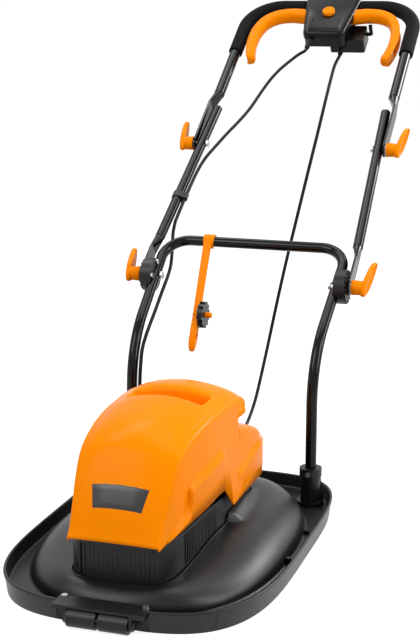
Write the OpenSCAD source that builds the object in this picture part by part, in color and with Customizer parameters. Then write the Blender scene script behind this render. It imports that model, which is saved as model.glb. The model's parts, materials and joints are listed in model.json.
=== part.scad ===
/* [Deck] */
// Width of the hood over its rim
deck_w = 426; // [400:1:450]
// Length of the hood over its rim
deck_l = 612; // [580:1:640]
// Height of the rim wall
rim_h = 33; // [28:1:40]
// How far the rim's foot stands in from its top
rim_draft = 4; // [0:0.5:6]
// Wall of the hood moulding
hood_wall = 3; // [2:0.5:4]
// Height of the trough floor between rim and dome
trough_h = 10; // [8:1:14]
// Width of the trough along the sides, between rim and dome
trough_side = 21; // [17:1:28]
// Width of the trough at the front and back
trough_end = 28; // [23:1:40]
// Height of the dome's crest
dome_h = 62; // [58:1:68]
// Drop of the crest towards the nose
nose_drop = 18; // [0:1:22]
// Width of the tower that carries the motor
tower_w = 184; // [176:1:190]
// Length of the tower
tower_l = 404; // [380:1:416]
// Height of the tower's top edge
tower_h = 108; // [96:1:112]
// Radius of the air intake in the tower floor
intake_r = 50; // [44:1:56]

/* [Motor cover] */
// Distance of the cover's nose behind the rim's front
cover_nose_in = 46; // [40:1:52]
// Length of the cover
cover_l = 438; // [420:1:450]
// Width of the cover over its lower edges
cover_w = 206; // [200:1:216]
// Height of the nose's lower edge
cover_nose_h = 103; // [98:1:108]
// Height of the crease between top and sides
cover_crease_h = 245; // [235:1:260]
// Height of the sides' lower edge behind the step
cover_skirt_h = 90; // [84:1:96]
// Rise of the crowned top above the crease
cover_crown = 21; // [12:1:28]
// Wall of the cover
cover_wall = 2.5; // [2:0.5:3.5]
// Length of the hand slot across the cover
slot_l = 124; // [100:1:140]
// Width of the badge plate along its lower edge
badge_w = 76; // [60:1:84]

/* [Motor] */
// Outer radius of the stator
stator_r = 44; // [40:1:48]
// Height of the stator stack
stator_h = 48; // [40:1:54]
// Radius of the armature
armature_r = 25; // [22:1:28]
// Radius of the shaft
shaft_r = 6; // [5:0.5:7]
// Room between a blade tip and the dome's foot
blade_gap = 27; // [24:1:37]
// How far the hover impeller's rim lies inside the cutting circle
impeller_in = 39; // [30:1:55]
// Width of the blade
blade_w = 46; // [36:1:52]
// Thickness of the blade
blade_t = 3; // [2:0.5:4]
// Outer radius of a blade spacer
spacer_r = 24; // [20:1:27]
// Thickness of a blade spacer
spacer_t = 10; // [7:1:11]

/* [Roller] */
// Radius of the front rollers
roller_r = 14; // [12:1:15]
// Length of one roller
roller_l = 44; // [38:1:50]
// Radius of the roller axle
axle_r = 4; // [3:0.5:5]

/* [Lower handle] */
// Outer radius of the lower and middle tubes
tube_r = 9.5; // [8.5:0.5:10.5]
// Wall of the handle tubes
tube_wall = 1.5; // [1:0.25:2]
// Slope of the handle above the ground
lean = 35.5; // [30:0.5:40]
// Distance of a socket's axis from the hood's side
socket_side = 51; // [47:1:57]
// Distance of a socket's axis from the hood's back
socket_back = 73; // [66:1:82]
// Height of the socket collars
socket_h = 74; // [66:1:84]
// Height where the legs' upright and sloping lines meet
leg_bend_h = 261; // [250:1:280]
// Bend radius of the legs
leg_bend_r = 150; // [110:1:170]
// Sloping run of a leg from its bend to the fold pivot
leg_run = 171; // [150:1:185]
// Run from the fold pivot to the crossbar
cross_run = 91; // [84:1:110]
// Half distance between the legs at the crossbar
cross_x = 171; // [166:1:174]
// Bend radius at the crossbar's ends
cross_bend_r = 46; // [36:1:52]

/* [Clamp joints] */
// Radius of the ratchet blocks
block_r = 30; // [24:1:34]
// Thickness of a ratchet block outside the tube
block_t = 12; // [9:1:15]
// Thickness of the flattened tube ends
flat_t = 4; // [3:0.5:5]
// Radius of the clamp bolts
bolt_r = 4; // [3:0.5:4.5]
// Thickness of the washers
washer_t = 1.5; // [1:0.5:2]
// Length of a knob's hub
knob_l = 27; // [22:1:32]
// Radius of a knob's hub
knob_r = 14.5; // [12:0.5:16]
// Reach of a knob's wing from its axis
wing_l = 62; // [48:1:70]

/* [Upper handle] */
// Run from the fold pivot to the upper pivot
upper_run = 358; // [330:1:390]
// Length of a middle tube
middle_l = 462; // [440:1:490]
// Half distance between the middle tubes at their caps
cap_x = 172; // [170:1:174]
// Outer radius of the handlebar tube
bar_r = 11; // [10:0.5:12]
// Run from the upper pivot to the top of the handlebar
bar_run = 445; // [420:1:470]
// Half width of the handlebar
bar_x = 180.5; // [179:0.5:183]
// Bend radius of the handlebar
bar_bend_r = 75; // [60:1:85]
// Outer radius of the foam grips
grip_r = 13.5; // [13:0.5:15]
// Run from the upper pivot to the lower end of a grip
grip_run = 287; // [270:1:310]

/* [Switch box] */
// Width of the switch box
box_w = 120; // [112:1:126]
// Length of the switch box along the handle
box_l = 128; // [118:1:136]
// Height of the front shell above the handlebar's axis
box_front_h = 20; // [17:1:24]
// Depth of the back shell below the handlebar's axis
box_back_h = 17; // [15:1:20]
// Radius of the lock button
button_r = 13; // [10:0.5:14]
// Travel of the lock button
button_travel = 4; // [3:0.5:5]
// Width of a trigger lever at the box
lever_w = 25; // [20:1:27]
// Depth of a trigger lever's channel
lever_t = 20; // [14:1:22]

/* [Leads] */
// Diameter of the motor lead
lead_d = 6.5; // [5.5:0.1:7]
// Diameter of the mains lead
cord_d = 6.8; // [6:0.1:7.2]
// Mean diameter of the stored coil
coil_d = 120; // [112:1:122]

/* [Spanner] */
// Length of the blade spanner below the crossbar
spanner_l = 206; // [180:1:215]
// Width of the spanner's shank
shank_w = 14; // [11:1:17]

/* [Hidden] */
$fn = 48;

black_plastic = "#1d1d1f";
orange_plastic = "#f5860a";
black_paint = "#0f0f11";
zinc = "#b4b7bb";
copper = "#b3693a";
steel = "#8b8e93";
foam = "#161617";
badge_grey = "#3a3a3d";
switch_grey = "#2a2a2c";

// Clearances: a face that turns, a piece set into another, and the overrun of every cut
run_gap = 0.05;
seat_gap = 0.3;
join_gap = 0.8;
overrun = 2;
// A bent tube's wall thins by a hair in its bends, and each straight length laps into them
bend_thin = 0.02;
bend_lap = 0.5;

// Shape of the rim, dome and tower outlines: the higher the power, the squarer the corners
rim_front_power = 3.5;
rim_rear_power = 4.8;
dome_power = 2.5;
tower_power = 7;
hood_sides = 64;
draft_at_trough = rim_draft * (1 - trough_h / rim_h);
dome_steps = 6;
// The rim's and the dome's middle, measured back from the motor axis
rim_mid_y = -8;
dome_mid_y = -14;
rim_front_y = rim_mid_y - deck_l / 2;
dome_w = deck_w - 2 * trough_side;
dome_l = deck_l - 2 * trough_end;
// The tower stands under the cover, a little behind its nose
cover_nose_y = rim_front_y + cover_nose_in;
tower_in = 12;
tower_mid_y = cover_nose_y + tower_in + tower_l / 2;
// The handle's sockets stand in the hood's rear corners
socket_x = deck_w / 2 - socket_side;
socket_y = rim_mid_y + deck_l / 2 - socket_back;
// The blade's cutting circle and the impeller turn inside the dome
blade_l = dome_w - 2 * blade_gap;
impeller_r = blade_l / 2 - impeller_in;
// How much narrower the tower's nose is than its tail
tower_taper_share = 0.12;
// How far the tower's top leans in, and how far it reaches up behind the cover's lower edge
tower_lean = 2.4;
tower_lap = 4;
// Beside the tower's rear part the dome's crest stands up in a lip: its rise, and where it starts and fades
lip_rise = 12;
lip_start_y = -34;
lip_full_y = -26;
lip_fade_y = 50;
lip_end_y = 125;

// Places along the handle, measured from the fold pivot
pivot_y = socket_y + leg_run * cos(lean);
pivot_z = leg_bend_h + leg_run * sin(lean);
bar_u = upper_run + bar_run;
grip_u = upper_run + grip_run;
leg_x = socket_x + (cross_x - socket_x) * leg_run / (leg_run + cross_run);

// Stack of pieces on a lower clamp bolt, outwards from the middle of the mower
block_out = leg_x + tube_r + block_t;
flat_w = 3 * tube_r;
flat_x = block_out + seat_gap + flat_t / 2;
low_washer_x = flat_x + flat_t / 2 + seat_gap;
low_knob_x = low_washer_x + washer_t + seat_gap;
// Stack of pieces on an upper clamp bolt
middle_x = flat_x + (cap_x - flat_x) * upper_run / middle_l;
middle_slope = (flat_x - cap_x) / middle_l;
bar_flat_x = middle_x + tube_r + seat_gap + middle_slope * flat_w / 2 + flat_t / 2;
high_washer_x = bar_flat_x + flat_t / 2 + seat_gap;
high_knob_x = high_washer_x + washer_t + seat_gap;
bolt_head_r = 1.7 * bolt_r;
bolt_head_h = bolt_r;
crimp_l = 34;
crimp_step = 0.4;
flat_l = 62;
washer_r = 10;

// Roller place: its axle lies ahead of the rim and its skin touches the ground
roller_y = rim_front_y - roller_r + 2 * hood_wall - seat_gap;
notch_side = 26;
notch_w = 2 * (roller_l + notch_side);
roller_mid_gap = 4;
cheek_t = 5;
cheek_x = roller_mid_gap / 2 + roller_l + 2 * seat_gap;

// The origin lies on the ground under the middle of the mower's length
box_over_bar = 4;
box_top_u = bar_u + bar_r + box_over_bar;
handle_end_y = pivot_y + box_top_u * cos(lean) + box_back_h * sin(lean);
axis_y = -(handle_end_y + roller_y - roller_r) / 2;

// Motor stack on the tower floor, with the room left between its pieces along the shaft
floor_z = dome_h;
stator_lift = 6;
brush_lift = 3;
plate_lift = 4;
shaft_end_l = 4;
base_t = 12;
bearing_r = 14;
bearing_t = 8;
stator_z = floor_z + base_t + stator_lift;
winding_h = 9;
commutator_z = stator_z + stator_h + winding_h + brush_lift;
commutator_h = 15;
commutator_r = 15;
end_plate_z = commutator_z + commutator_h + plate_lift;
end_plate_t = 9;
shaft_top = end_plate_z + end_plate_t + shaft_end_l;
// Rotor stack under the tower floor
impeller_drop = 24;
impeller_z = floor_z - hood_wall - impeller_drop;
vane_h = 14;
impeller_t = 3;
hub_r = 24;
blade_z = impeller_z - spacer_t - blade_t;
blade_bolt_h = 7;
bolt_head_z = blade_z - blade_bolt_h;

// Cover outline, chosen by hand: places along its length from the nose, as shares of the length
cover_y_shares = [0, 0.014, 0.035, 0.064, 0.1, 0.15, 0.19, 0.23, 0.29, 0.35, 0.45, 0.57, 0.66, 0.72,
    0.75, 0.764, 0.7702, 0.773, 0.82, 0.9, 0.95, 0.985, 1];
// Height of the crease there, as shares of the rise from the nose's edge to the crease
crease_shares = [0.02, 0.1, 0.24, 0.41, 0.59, 0.785, 0.86, 0.905, 0.947, 0.972, 1, 1, 0.99, 0.97,
    0.93, 0.86, 0.77, 0.575, 0.545, 0.44, 0.36, 0.28, 0.2];
// Half width at the crease, as shares of half the cover's width
crease_w_shares = [0.67, 0.67, 0.675, 0.69, 0.715, 0.74, 0.76, 0.775, 0.8, 0.825, 0.845, 0.87, 0.885, 0.895,
    0.9, 0.9, 0.9, 0.885, 0.89, 0.9, 0.905, 0.91, 0.9];
// Half width at the lower edge, as shares of half the cover's width
skirt_w_shares = [0.67, 0.675, 0.69, 0.71, 0.75, 0.79, 0.82, 0.85, 0.9, 0.94, 0.985, 1, 1, 1,
    1, 1, 1, 1, 1, 0.995, 0.99, 0.985, 0.98];
// Rise of the crown there, as shares of the full rise
crown_shares = [0.05, 0.2, 0.3, 0.42, 0.55, 0.7, 0.78, 0.83, 0.88, 0.92, 0.97, 1, 1, 0.97,
    0.9, 0.8, 0.7, 0.45, 0.45, 0.42, 0.4, 0.35, 0.25];
// Points across the crown from the crease to the middle, as shares of the half width
crown_x_shares = [0.94, 0.82, 0.62, 0.32, 0];
cover_edge = 7;
// A sloping ledge runs along each side: its height, its depth, and its places as shares of the side's height
side_swell = 4;
ledge_h = 9;
ledge_out = 5;
ledge_shares = [0.5, 0.45, 0.35, 0.31, 0.31, 0.31, 0.39, 0.59, 0.6, 0.61, 0.63, 0.66, 0.68, 0.655,
    0.645, 0.68, 0.75, 0.8, 0.8, 0.74, 0.68, 0.7, 0.7];

// Handle-frame places of the switch box and its pieces
box_low_u = box_top_u - box_l;
button_drop = 44;
button_u = bar_u - button_drop;
lever_pivot_in = 16;
lever_pivot_drop = 38;
lever_pivot_x = box_w / 2 - lever_pivot_in;
lever_pivot_u = bar_u - lever_pivot_drop;
lever_pin_r = 5;
gland_r = 6;
gland_l = 26;
mains_exit_x = 32;
inlet_rise = 24;
inlet_u = box_low_u + inlet_rise;
lead_exit_x = -30;

// Lead routes, chosen by hand, in the handle's own frame: across, along, off the handle
lead_upper_route = [[-44, 646, -3], [-60, 626, -6], [-76, 600, -8], [-89, 563, -8], [-99, 520, -8],
    [-108, 478, -8], [-120, 436, -6], [-134, 394, -3], [-147, 350, 0], [-156, 318, 2], [-161, 294.8, 2]];
lead_middle_route = [[-161, 294, 2], [-164.5, 268, 1], [-166.5, 238, 0], [-168, 205, 0], [-169.5, 172, -1],
    [-171, 142, -3]];
lead_lower_route = [[-171, 141.2, -3.2], [-170, 118, -9], [-166, 94, -16], [-160, 68, -18], [-154, 40, -17],
    [-151, 8, -15], [-150, -30, -13], [-149, -70, -12]];
// The same lead from the leg's bend to the cover, from the motor axis
lead_foot_route = [[-148, 248, 262], [-147, 229, 224], [-146, 221, 184], [-145, 219, 148], [-141, 218, 118],
    [-128, 215, 101], [-108, 208, 98], [-88, 196, 102]];
// Mains lead from its gland to the coil's top, from the motor axis
mains_route = [[28, 915, 711], [27.5, 885, 685], [27, 855, 655], [25, 828, 620], [21, 805, 580],
    [15, 785, 536], [8, 768, 490], [0, 752, 440], [-8.5, 738, 390], [-17, 724, 340], [-25, 709, 288],
    [-32, 694, 238], [-38, 678, 190], [-43, 659, 144], [-46, 634, 103], [-47, 606, 71], [-47.5, 574, 48],
    [-47.5, 540, 33], [-47.5, 507, 27.4], [-47.5, 476, 27.4]];
lead_sides = 8;
lead_steps = 2;

// Stored coil: layers of turns, wound in and out again
coil_layers = 4;
coil_turns = 6;
coil_gap = 0.7;
coil_pitch = cord_d + coil_gap;
coil_rings = 24;
coil_sides = 6;
coil_out_x = -47.5;
coil_x = coil_out_x - coil_d / 2 - coil_turns * coil_pitch / 2;
coil_y = 455;
tie_t = 1.2;
tie_w = 18;
coil_z = tie_t + seat_gap + cord_d / 2;
plug_l = 52;
plug_w = 46;
plug_h = 26;
plug_pin_l = 18;
plug_tail = 70;

// Crossbar place and the spanner that hangs on it
cross_y = pivot_y + cross_run * cos(lean);
cross_z = pivot_z + cross_run * sin(lean);
spanner_x = -88;
spanner_tilt = 28;
clip_t = 3.5;
clip_w = 22;
shank_t = 6;
peg_r = 5;
peg_drop = 143;
peg_l = 22;

function unit(v) = v / norm(v);
function mix(a, b, share) = a + (b - a) * share;
function flat(lists) = [for (list = lists, item = list) item];

// A route rounded through its own points
function spline(p0, p1, p2, p3, t) = (2 * p1 + (p2 - p0) * t + (2 * p0 - 5 * p1 + 4 * p2 - p3) * t * t
    + (3 * p1 - p0 - 3 * p2 + p3) * t * t * t) / 2;
function smooth(points, steps) = let (last = len(points) - 1) [
    for (i = [0 : last - 1], k = [0 : steps - 1])
        spline(points[max(i - 1, 0)], points[i], points[i + 1], points[min(i + 2, last)], k / steps),
    points[last]
];

// Round section of a lead at each point of its route
function lead_rings(points, radius, sides, side_hint) = let (last = len(points) - 1) [
    for (i = [0 : last])
        let (
            way = unit(points[min(i + 1, last)] - points[max(i - 1, 0)]),
            across = unit(cross(way, side_hint)),
            up = cross(across, way)
        )
        [for (k = [0 : sides - 1])
            points[i] + radius * (across * cos(360 * k / sides) + up * sin(360 * k / sides))]
];

// Skin between rings of points, as triangles; the rings close on themselves
function skin_faces(rows, cols) = flat([
    for (r = [0 : rows - 2], c = [0 : cols - 1])
        let (a = r * cols + c, b = r * cols + (c + 1) % cols)
        [[a, b, b + cols], [a, b + cols, a + cols]]
]);
module loft(rings) {
    rows = len(rings);
    cols = len(rings[0]);
    first_cap = [for (c = [0 : cols - 1]) cols - 1 - c];
    last_cap = [for (c = [0 : cols - 1]) (rows - 1) * cols + c];
    polyhedron(points = flat(rings), faces = concat(skin_faces(rows, cols), [first_cap, last_cap]));
}

// Frames that the sub-parts are drawn in
module on_deck() translate([0, axis_y, 0]) children();
module on_handle() on_deck() translate([0, pivot_y, pivot_z]) rotate([lean, 0, 0]) children();
module both_sides() {
    children();
    mirror([1, 0, 0]) children();
}
module on_side(side) mirror([side < 0 ? 1 : 0, 0, 0]) children();
// A flat outline in the side view, drawn out across the mower
module across(from_x, to_x)
    translate([from_x, 0, 0]) rotate([90, 0, 90]) linear_extrude(to_x - from_x) children();
module along_x(x0, x1, radius) translate([x0, 0, 0]) rotate([0, 90, 0]) cylinder(r = radius, h = x1 - x0);

// A straight round length between two points, solid or bored
module ring_section(radius, bore) difference() {
    circle(r = radius);
    if (bore > 0) circle(r = bore);
}
module rod(from, to, radius, bore = 0) {
    way = unit(to - from);
    aside = unit(cross(way, abs(way.z) > abs(way.x) ? [1, 0, 0] : [0, 0, 1]));
    over = cross(way, aside);
    multmatrix([[aside.x, over.x, way.x, from.x], [aside.y, over.y, way.y, from.y],
        [aside.z, over.z, way.z, from.z], [0, 0, 0, 1]])
        linear_extrude(norm(to - from)) ring_section(radius, bore);
}
function bend_angle(a, b, c) = acos(unit(b - a) * unit(c - b));
function bend_trim(a, b, c, bend_r) = bend_r * tan(bend_angle(a, b, c) / 2);
function inward(a, b, c) = unit((c - b) - unit(b - a) * ((c - b) * unit(b - a)));
// One straight length of a bent tube and the bend after it, then the rest, each from the last one's end
module tube_steps(points, bend_rs, radius, bore, i, aside) {
    last = len(points) - 1;
    way = unit(points[i + 1] - points[i]);
    trim_before = i == 0 ? 0 : bend_trim(points[i - 1], points[i], points[i + 1], bend_rs[i]);
    trim_after = i + 1 == last ? 0 : bend_trim(points[i], points[i + 1], points[i + 2], bend_rs[i + 1]);
    straight = norm(points[i + 1] - points[i]) - trim_before - trim_after;
    lap_before = i == 0 ? 0 : bend_lap;
    lap_after = i + 1 == last ? 0 : bend_lap;
    translate([0, 0, -lap_before]) linear_extrude(lap_before + straight + lap_after)
        ring_section(radius, bore);
    if (i + 1 < last) {
        into = inward(points[i], points[i + 1], points[i + 2]);
        turn = bend_angle(points[i], points[i + 1], points[i + 2]);
        bend_r = bend_rs[i + 1];
        translate([0, 0, straight]) rotate([0, 0, atan2(cross(aside, into) * way, aside * into)])
            translate([bend_r, 0, 0]) {
                rotate([90, 0, 180]) rotate_extrude(angle = turn) translate([bend_r, 0])
                    ring_section(radius - bend_thin, bore + bend_thin);
                rotate([0, turn, 0]) translate([-bend_r, 0, 0])
                    tube_steps(points, bend_rs, radius, bore, i + 1, into * cos(turn) - way * sin(turn));
            }
    }
}
// A bent tube along a centre line, with one bend radius per corner
module tube_run(points, bend_rs, radius, bore) {
    way = unit(points[1] - points[0]);
    aside = inward(points[0], points[1], points[2]);
    over = cross(way, aside);
    multmatrix([[aside.x, over.x, way.x, points[0].x], [aside.y, over.y, way.y, points[0].y],
        [aside.z, over.z, way.z, points[0].z], [0, 0, 0, 1]])
        tube_steps(points, bend_rs, radius, bore, 0, aside);
}
module lead(points, diameter, side_hint)
    loft(lead_rings(smooth(points, lead_steps), diameter / 2, lead_sides, side_hint));

// Outlines of the hood, seen from above: polar angle from the nose, half sizes and corner power
function outline_radius(angle, half_w, half_l, power) =
    pow(pow(abs(sin(angle)) / half_w, power) + pow(abs(cos(angle)) / half_l, power), -1 / power);
function polar(angle, radius, mid_y) = [radius * sin(angle), mid_y - radius * cos(angle)];
function rim_point(angle, inset) = polar(angle, outline_radius(angle, deck_w / 2 - inset, deck_l / 2 - inset,
    cos(angle) > 0 ? rim_front_power : rim_rear_power), rim_mid_y);
function dome_point(angle, inset) =
    polar(angle, outline_radius(angle, dome_w / 2 - inset, dome_l / 2 - inset, dome_power), dome_mid_y);
function tower_point(angle, inset) =
    let (radius = outline_radius(angle, tower_w / 2 - inset, tower_l / 2 - inset, tower_power),
        p = polar(angle, radius, tower_mid_y))
    [p.x * (1 - tower_taper_share * max(0, cos(angle))), p.y];
function ease(value, from, to) = let (t = max(0, min(1, (value - from) / (to - from)))) t * t * (3 - 2 * t);
function lip_h(angle) = let (y = tower_point(angle, 0).y)
    lip_rise * ease(y, lip_start_y, lip_full_y) * (1 - ease(y, lip_fade_y, lip_end_y));
function crest_h(angle) = dome_h - nose_drop * pow(max(0, cos(angle)), 2);
// A ring round the dome, from its foot (share 0) to its crest (share 1), on a quarter ellipse; the inside
// leaves the lip solid where it meets the tower
function dome_ring(share, inset) = [for (k = [0 : hood_sides - 1])
    let (angle = 360 * k / hood_sides,
        place = mix(tower_point(angle, inset), dome_point(angle, inset), cos(90 * share)),
        lip = lip_h(angle) * (inset > 0 ? 1 - pow(share, 3) : 1),
        height = mix(trough_h, crest_h(angle) + lip, sin(90 * share)) - inset)
    [place.x, place.y, height]];
function rim_ring(inset, height) = [for (k = [0 : hood_sides - 1])
    let (p = rim_point(360 * k / hood_sides, inset)) [p.x, p.y, height]];
function tower_ring(inset, height) = [for (k = [0 : hood_sides - 1])
    let (p = tower_point(360 * k / hood_sides, inset)) [p.x, p.y, height]];
// The tower's top edge follows the cover's lower edge, a lap above it
function cover_edge_z(y) =
    y < tooth_start_y ? mix(cover_nose_h, tooth_top_z, (y - cover_nose_y) / (tooth_start_y - cover_nose_y))
    : mix(tooth_top_z, cover_skirt_h, ease(y, tooth_start_y + tooth_flat_l, tooth_end_y));
function tower_top_ring(inset) = [for (p = tower_ring(tower_lean + inset, tower_h))
    [p.x, p.y, max(tower_h, cover_edge_z(p.y) + tower_lap)]];
function intake_ring(height) = [for (k = [0 : hood_sides - 1])
    let (p = polar(360 * k / hood_sides, intake_r, 0)) [p.x, p.y, height]];

// The whole hood is one skin: over the rim, trough, dome and tower, and back underneath
module hood_shell() {
    top_rings = concat([rim_ring(rim_draft, 0), rim_ring(0, rim_h), rim_ring(hood_wall, rim_h),
        rim_ring(hood_wall + draft_at_trough, trough_h)],
        [for (i = [0 : dome_steps]) dome_ring(i / dome_steps, 0)],
        [tower_top_ring(0), tower_top_ring(hood_wall), tower_ring(hood_wall, floor_z), intake_ring(floor_z)]);
    under_rings = concat([intake_ring(floor_z - hood_wall), tower_ring(2 * hood_wall, floor_z - hood_wall)],
        [for (i = [0 : dome_steps]) dome_ring(1 - i / dome_steps, hood_wall)],
        [rim_ring(hood_wall + draft_at_trough, trough_h - hood_wall), rim_ring(hood_wall + rim_draft, 0)]);
    rings = concat(top_rings, under_rings);
    polyhedron(points = flat(rings),
        faces = skin_faces_closed(len(rings), hood_sides));
}
function skin_faces_closed(rows, cols) = flat([
    for (r = [0 : rows - 1], c = [0 : cols - 1])
        let (a = r * cols + c, b = r * cols + (c + 1) % cols,
            d = ((r + 1) % rows) * cols + c, e = ((r + 1) % rows) * cols + (c + 1) % cols)
        [[a, e, b], [a, d, e]]
]);

// Screws share one form: a round head on a round shank, along +Z with the head on top
screw_head_r = 4.5;
screw_head_h = 3;
screw_r = 2;
screw_l = 8;
module screw() {
    cylinder(r = screw_head_r, h = screw_head_h);
    translate([0, 0, -screw_l]) cylinder(r = screw_r, h = screw_l);
}
module screw_hole(length = screw_l)
    translate([0, 0, -length - seat_gap]) cylinder(r = screw_r, h = length + screw_head_h + overrun);

// Hood: rim, trough, dome and motor tower in one moulding, notched at the front for the roller
module deck_hood() color(black_plastic) on_deck() difference() {
    hood_shell();
    translate([-notch_w / 2, rim_front_y - overrun, -overrun])
        cube([notch_w, overrun + 2 * hood_wall, rim_h + 2 * overrun]);
}

// The side's line from its lower edge to the crease, with a slight swell
function cover_side_x(foot_w, wide, share) = mix(foot_w, wide, share) + side_swell * share * (1 - share);
// Cross-sections of the cover at its hand-chosen stations
function cover_ring(i, inset) =
    let (half = cover_w / 2,
        crease = cover_nose_h + (cover_crease_h - cover_nose_h) * crease_shares[i] - inset,
        wide = half * crease_w_shares[i] - inset,
        foot_w = half * skirt_w_shares[i] - inset,
        foot_z = cover_skirt_h - (inset > 0 ? overrun : 0),
        edge = min(cover_edge, (crease - foot_z) / 3),
        rise = cover_crown * crown_shares[i],
        side_h = crease - edge - foot_z,
        side_share = side_h / (cover_crease_h - cover_skirt_h),
        low_share = ledge_shares[i] - ledge_h / side_h * side_share / 2,
        high_share = ledge_shares[i] + ledge_h / side_h * side_share / 2,
        out = i == 0 || i == len(cover_y_shares) - 1 ? 0 : ledge_out * side_share,
        y = cover_nose_y + cover_l * cover_y_shares[i] + inset * (1 - 2 * cover_y_shares[i]),
        right = concat([[foot_w, foot_z],
            [cover_side_x(foot_w, wide, low_share) + out, foot_z + side_h * low_share],
            [cover_side_x(foot_w, wide, high_share), foot_z + side_h * high_share], [wide, crease - edge]],
            [for (s = crown_x_shares) [wide * s, crease + rise * (1 - s * s)]]))
    concat([for (p = right) [p.x, y, p.y]],
        [for (k = [len(right) - 2 : -1 : 0]) [-right[k].x, y, right[k].y]]);
module cover_solid(inset) loft([for (i = [0 : len(cover_y_shares) - 1]) cover_ring(i, inset)]);

// Side-view places of the carry handle: the slot's front lip, the bar, and the undercut behind it
slot_back = 206;
slot_w = 52;
bar_w = 34;
slot_front_y = cover_nose_y + slot_back;
bar_front_y = slot_front_y + slot_w;
undercut_y = bar_front_y + bar_w;
pocket_rise = 97;
pocket_z = cover_nose_h + pocket_rise;
bar_under_h = 12;
bar_under_z = pocket_z + bar_under_h;
// Corners of the hand space, as shares of the slot's length, the bar's length and the bar's front face
pocket_slope_shares = [0.3, 0.8];
bar_nose_share = 0.4;
// Hand space under the carry handle, open to the top in front of it and to the rear below it
module hand_space() polygon([
    [slot_front_y, cover_crease_h + 3 * cover_crown], [slot_front_y, cover_crease_h - cover_crown],
    [mix(slot_front_y, bar_front_y, pocket_slope_shares[0]), bar_under_z],
    [mix(slot_front_y, bar_front_y, pocket_slope_shares[1]), pocket_z],
    [undercut_y + overrun, pocket_z], [undercut_y + overrun, bar_under_z - overrun],
    [mix(bar_front_y, undercut_y, bar_nose_share), bar_under_z],
    [bar_front_y, mix(bar_under_z, cover_crease_h, bar_nose_share)],
    [bar_front_y, cover_crease_h + 3 * cover_crown]
]);
// Undercut across the whole cover, under the handle's tail, down to the hump's first station
undercut_rise_share = 0.1;
hump_station = 17;
hump_y = cover_nose_y + cover_l * cover_y_shares[hump_station];
hump_z = mix(cover_nose_h, cover_crease_h, crease_shares[hump_station]);
module tail_undercut() polygon([
    [cover_l, bar_under_z], [undercut_y + cover_l * undercut_rise_share, bar_under_z],
    [undercut_y, bar_under_z - overrun], [undercut_y, pocket_z], [hump_y, hump_z], [cover_l, hump_z]
]);
// What is trimmed below the cover: the sides rise from the nose, step down in a tooth, then run level
tooth_back = 184;
tooth_l = 56;
tooth_start_y = cover_nose_y + tooth_back;
tooth_end_y = tooth_start_y + tooth_l;
tooth_flat_l = 25;
tooth_rise = 22;
tooth_top_z = cover_nose_h + tooth_rise;
module skirt_trim() polygon([
    [cover_nose_y - overrun, 0], [cover_nose_y - overrun, cover_nose_h], [tooth_start_y, tooth_top_z],
    [tooth_start_y + tooth_flat_l, tooth_top_z], [tooth_end_y, cover_skirt_h], [tooth_end_y, 0]
]);
grommet_x = -70;
grommet_rise = 14;
grommet_z = cover_skirt_h + grommet_rise;
grommet_r = 8;
cover_tail_y = cover_nose_y + cover_l;

// Motor cover: a crowned shell with a carry handle across its top
module motor_cover() color(orange_plastic) on_deck() difference() {
    cover_solid(0);
    difference() {
        cover_solid(cover_wall);
        across(-slot_l / 2 - cover_wall, slot_l / 2 + cover_wall) offset(delta = cover_wall) hand_space();
        across(-cover_w, cover_w) offset(delta = cover_wall) tail_undercut();
    }
    across(-slot_l / 2, slot_l / 2) hand_space();
    across(-cover_w, cover_w) tail_undercut();
    across(-cover_w, cover_w) skirt_trim();
    translate([grommet_x, cover_tail_y - cover_wall - cover_w / 4, grommet_z]) rotate([-90, 0, 0])
        cylinder(r = grommet_r, h = cover_w);
}

// Badge plate: a bare trapezoid bent to the cover's sloping front
badge_t = 1.2;
badge_h = 37;
badge_flare_share = 0.17;
badge_slope = 61;
badge_back = 29;
badge_rise = 65;
badge_y = cover_nose_y + badge_back;
badge_mid_z = cover_nose_h + badge_rise;
badge_top_w = badge_w * (1 + badge_flare_share);
module badge_plate() color(badge_grey) on_deck() intersection() {
    difference() {
        cover_solid(-badge_t);
        cover_solid(0);
    }
    translate([0, badge_y, badge_mid_z]) rotate([badge_slope, 0, 0]) translate([0, 0, -badge_h / 2])
        linear_extrude(badge_h) polygon([[-badge_w / 2, -badge_h / 2], [badge_w / 2, -badge_h / 2],
            [badge_top_w / 2, badge_h / 2], [-badge_top_w / 2, badge_h / 2]]);
}

// Sockets at the rear corners that hold the lower handle's feet
socket_r = 17;
socket_collar_r = 19;
socket_collar_h = 15;
socket_floor = 6;
socket_foot_r = 23;
web_t = 4;
web_h = socket_h - socket_collar_h - trough_h;
web_turns = [20, 110, 250];
leg_foot_z = trough_h + socket_floor;
socket_screw_z = socket_h - socket_collar_h / 2;
module one_socket() difference() {
    union() {
        translate([0, 0, trough_h]) cylinder(r = socket_r, h = socket_h - trough_h);
        translate([0, 0, socket_h - socket_collar_h]) cylinder(r = socket_collar_r, h = socket_collar_h);
        translate([0, 0, trough_h]) cylinder(r = socket_foot_r, h = socket_floor);
        for (turn = web_turns) rotate([0, 0, turn]) translate([0, web_t / 2, trough_h]) rotate([90, 0, 0])
            linear_extrude(web_t) polygon([[0, 0], [socket_foot_r, 0], [socket_foot_r, socket_floor],
                [socket_r, web_h], [0, web_h]]);
    }
    translate([0, 0, leg_foot_z]) cylinder(r = tube_r + run_gap, h = socket_h);
    translate([0, -socket_collar_r, socket_screw_z]) rotate([90, 0, 0]) screw_hole();
}
module handle_sockets() color(black_plastic) on_deck() both_sides()
    translate([socket_x, socket_y, 0]) one_socket();

// Screws of the deck: two in the sockets, two in the roller carrier
module deck_screws() color(zinc) on_deck() both_sides() {
    translate([socket_x, socket_y - socket_collar_r, socket_screw_z]) rotate([90, 0, 0]) screw();
    translate([carrier_screw_x, carrier_foot_y, carrier_top_z]) screw();
}

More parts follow.
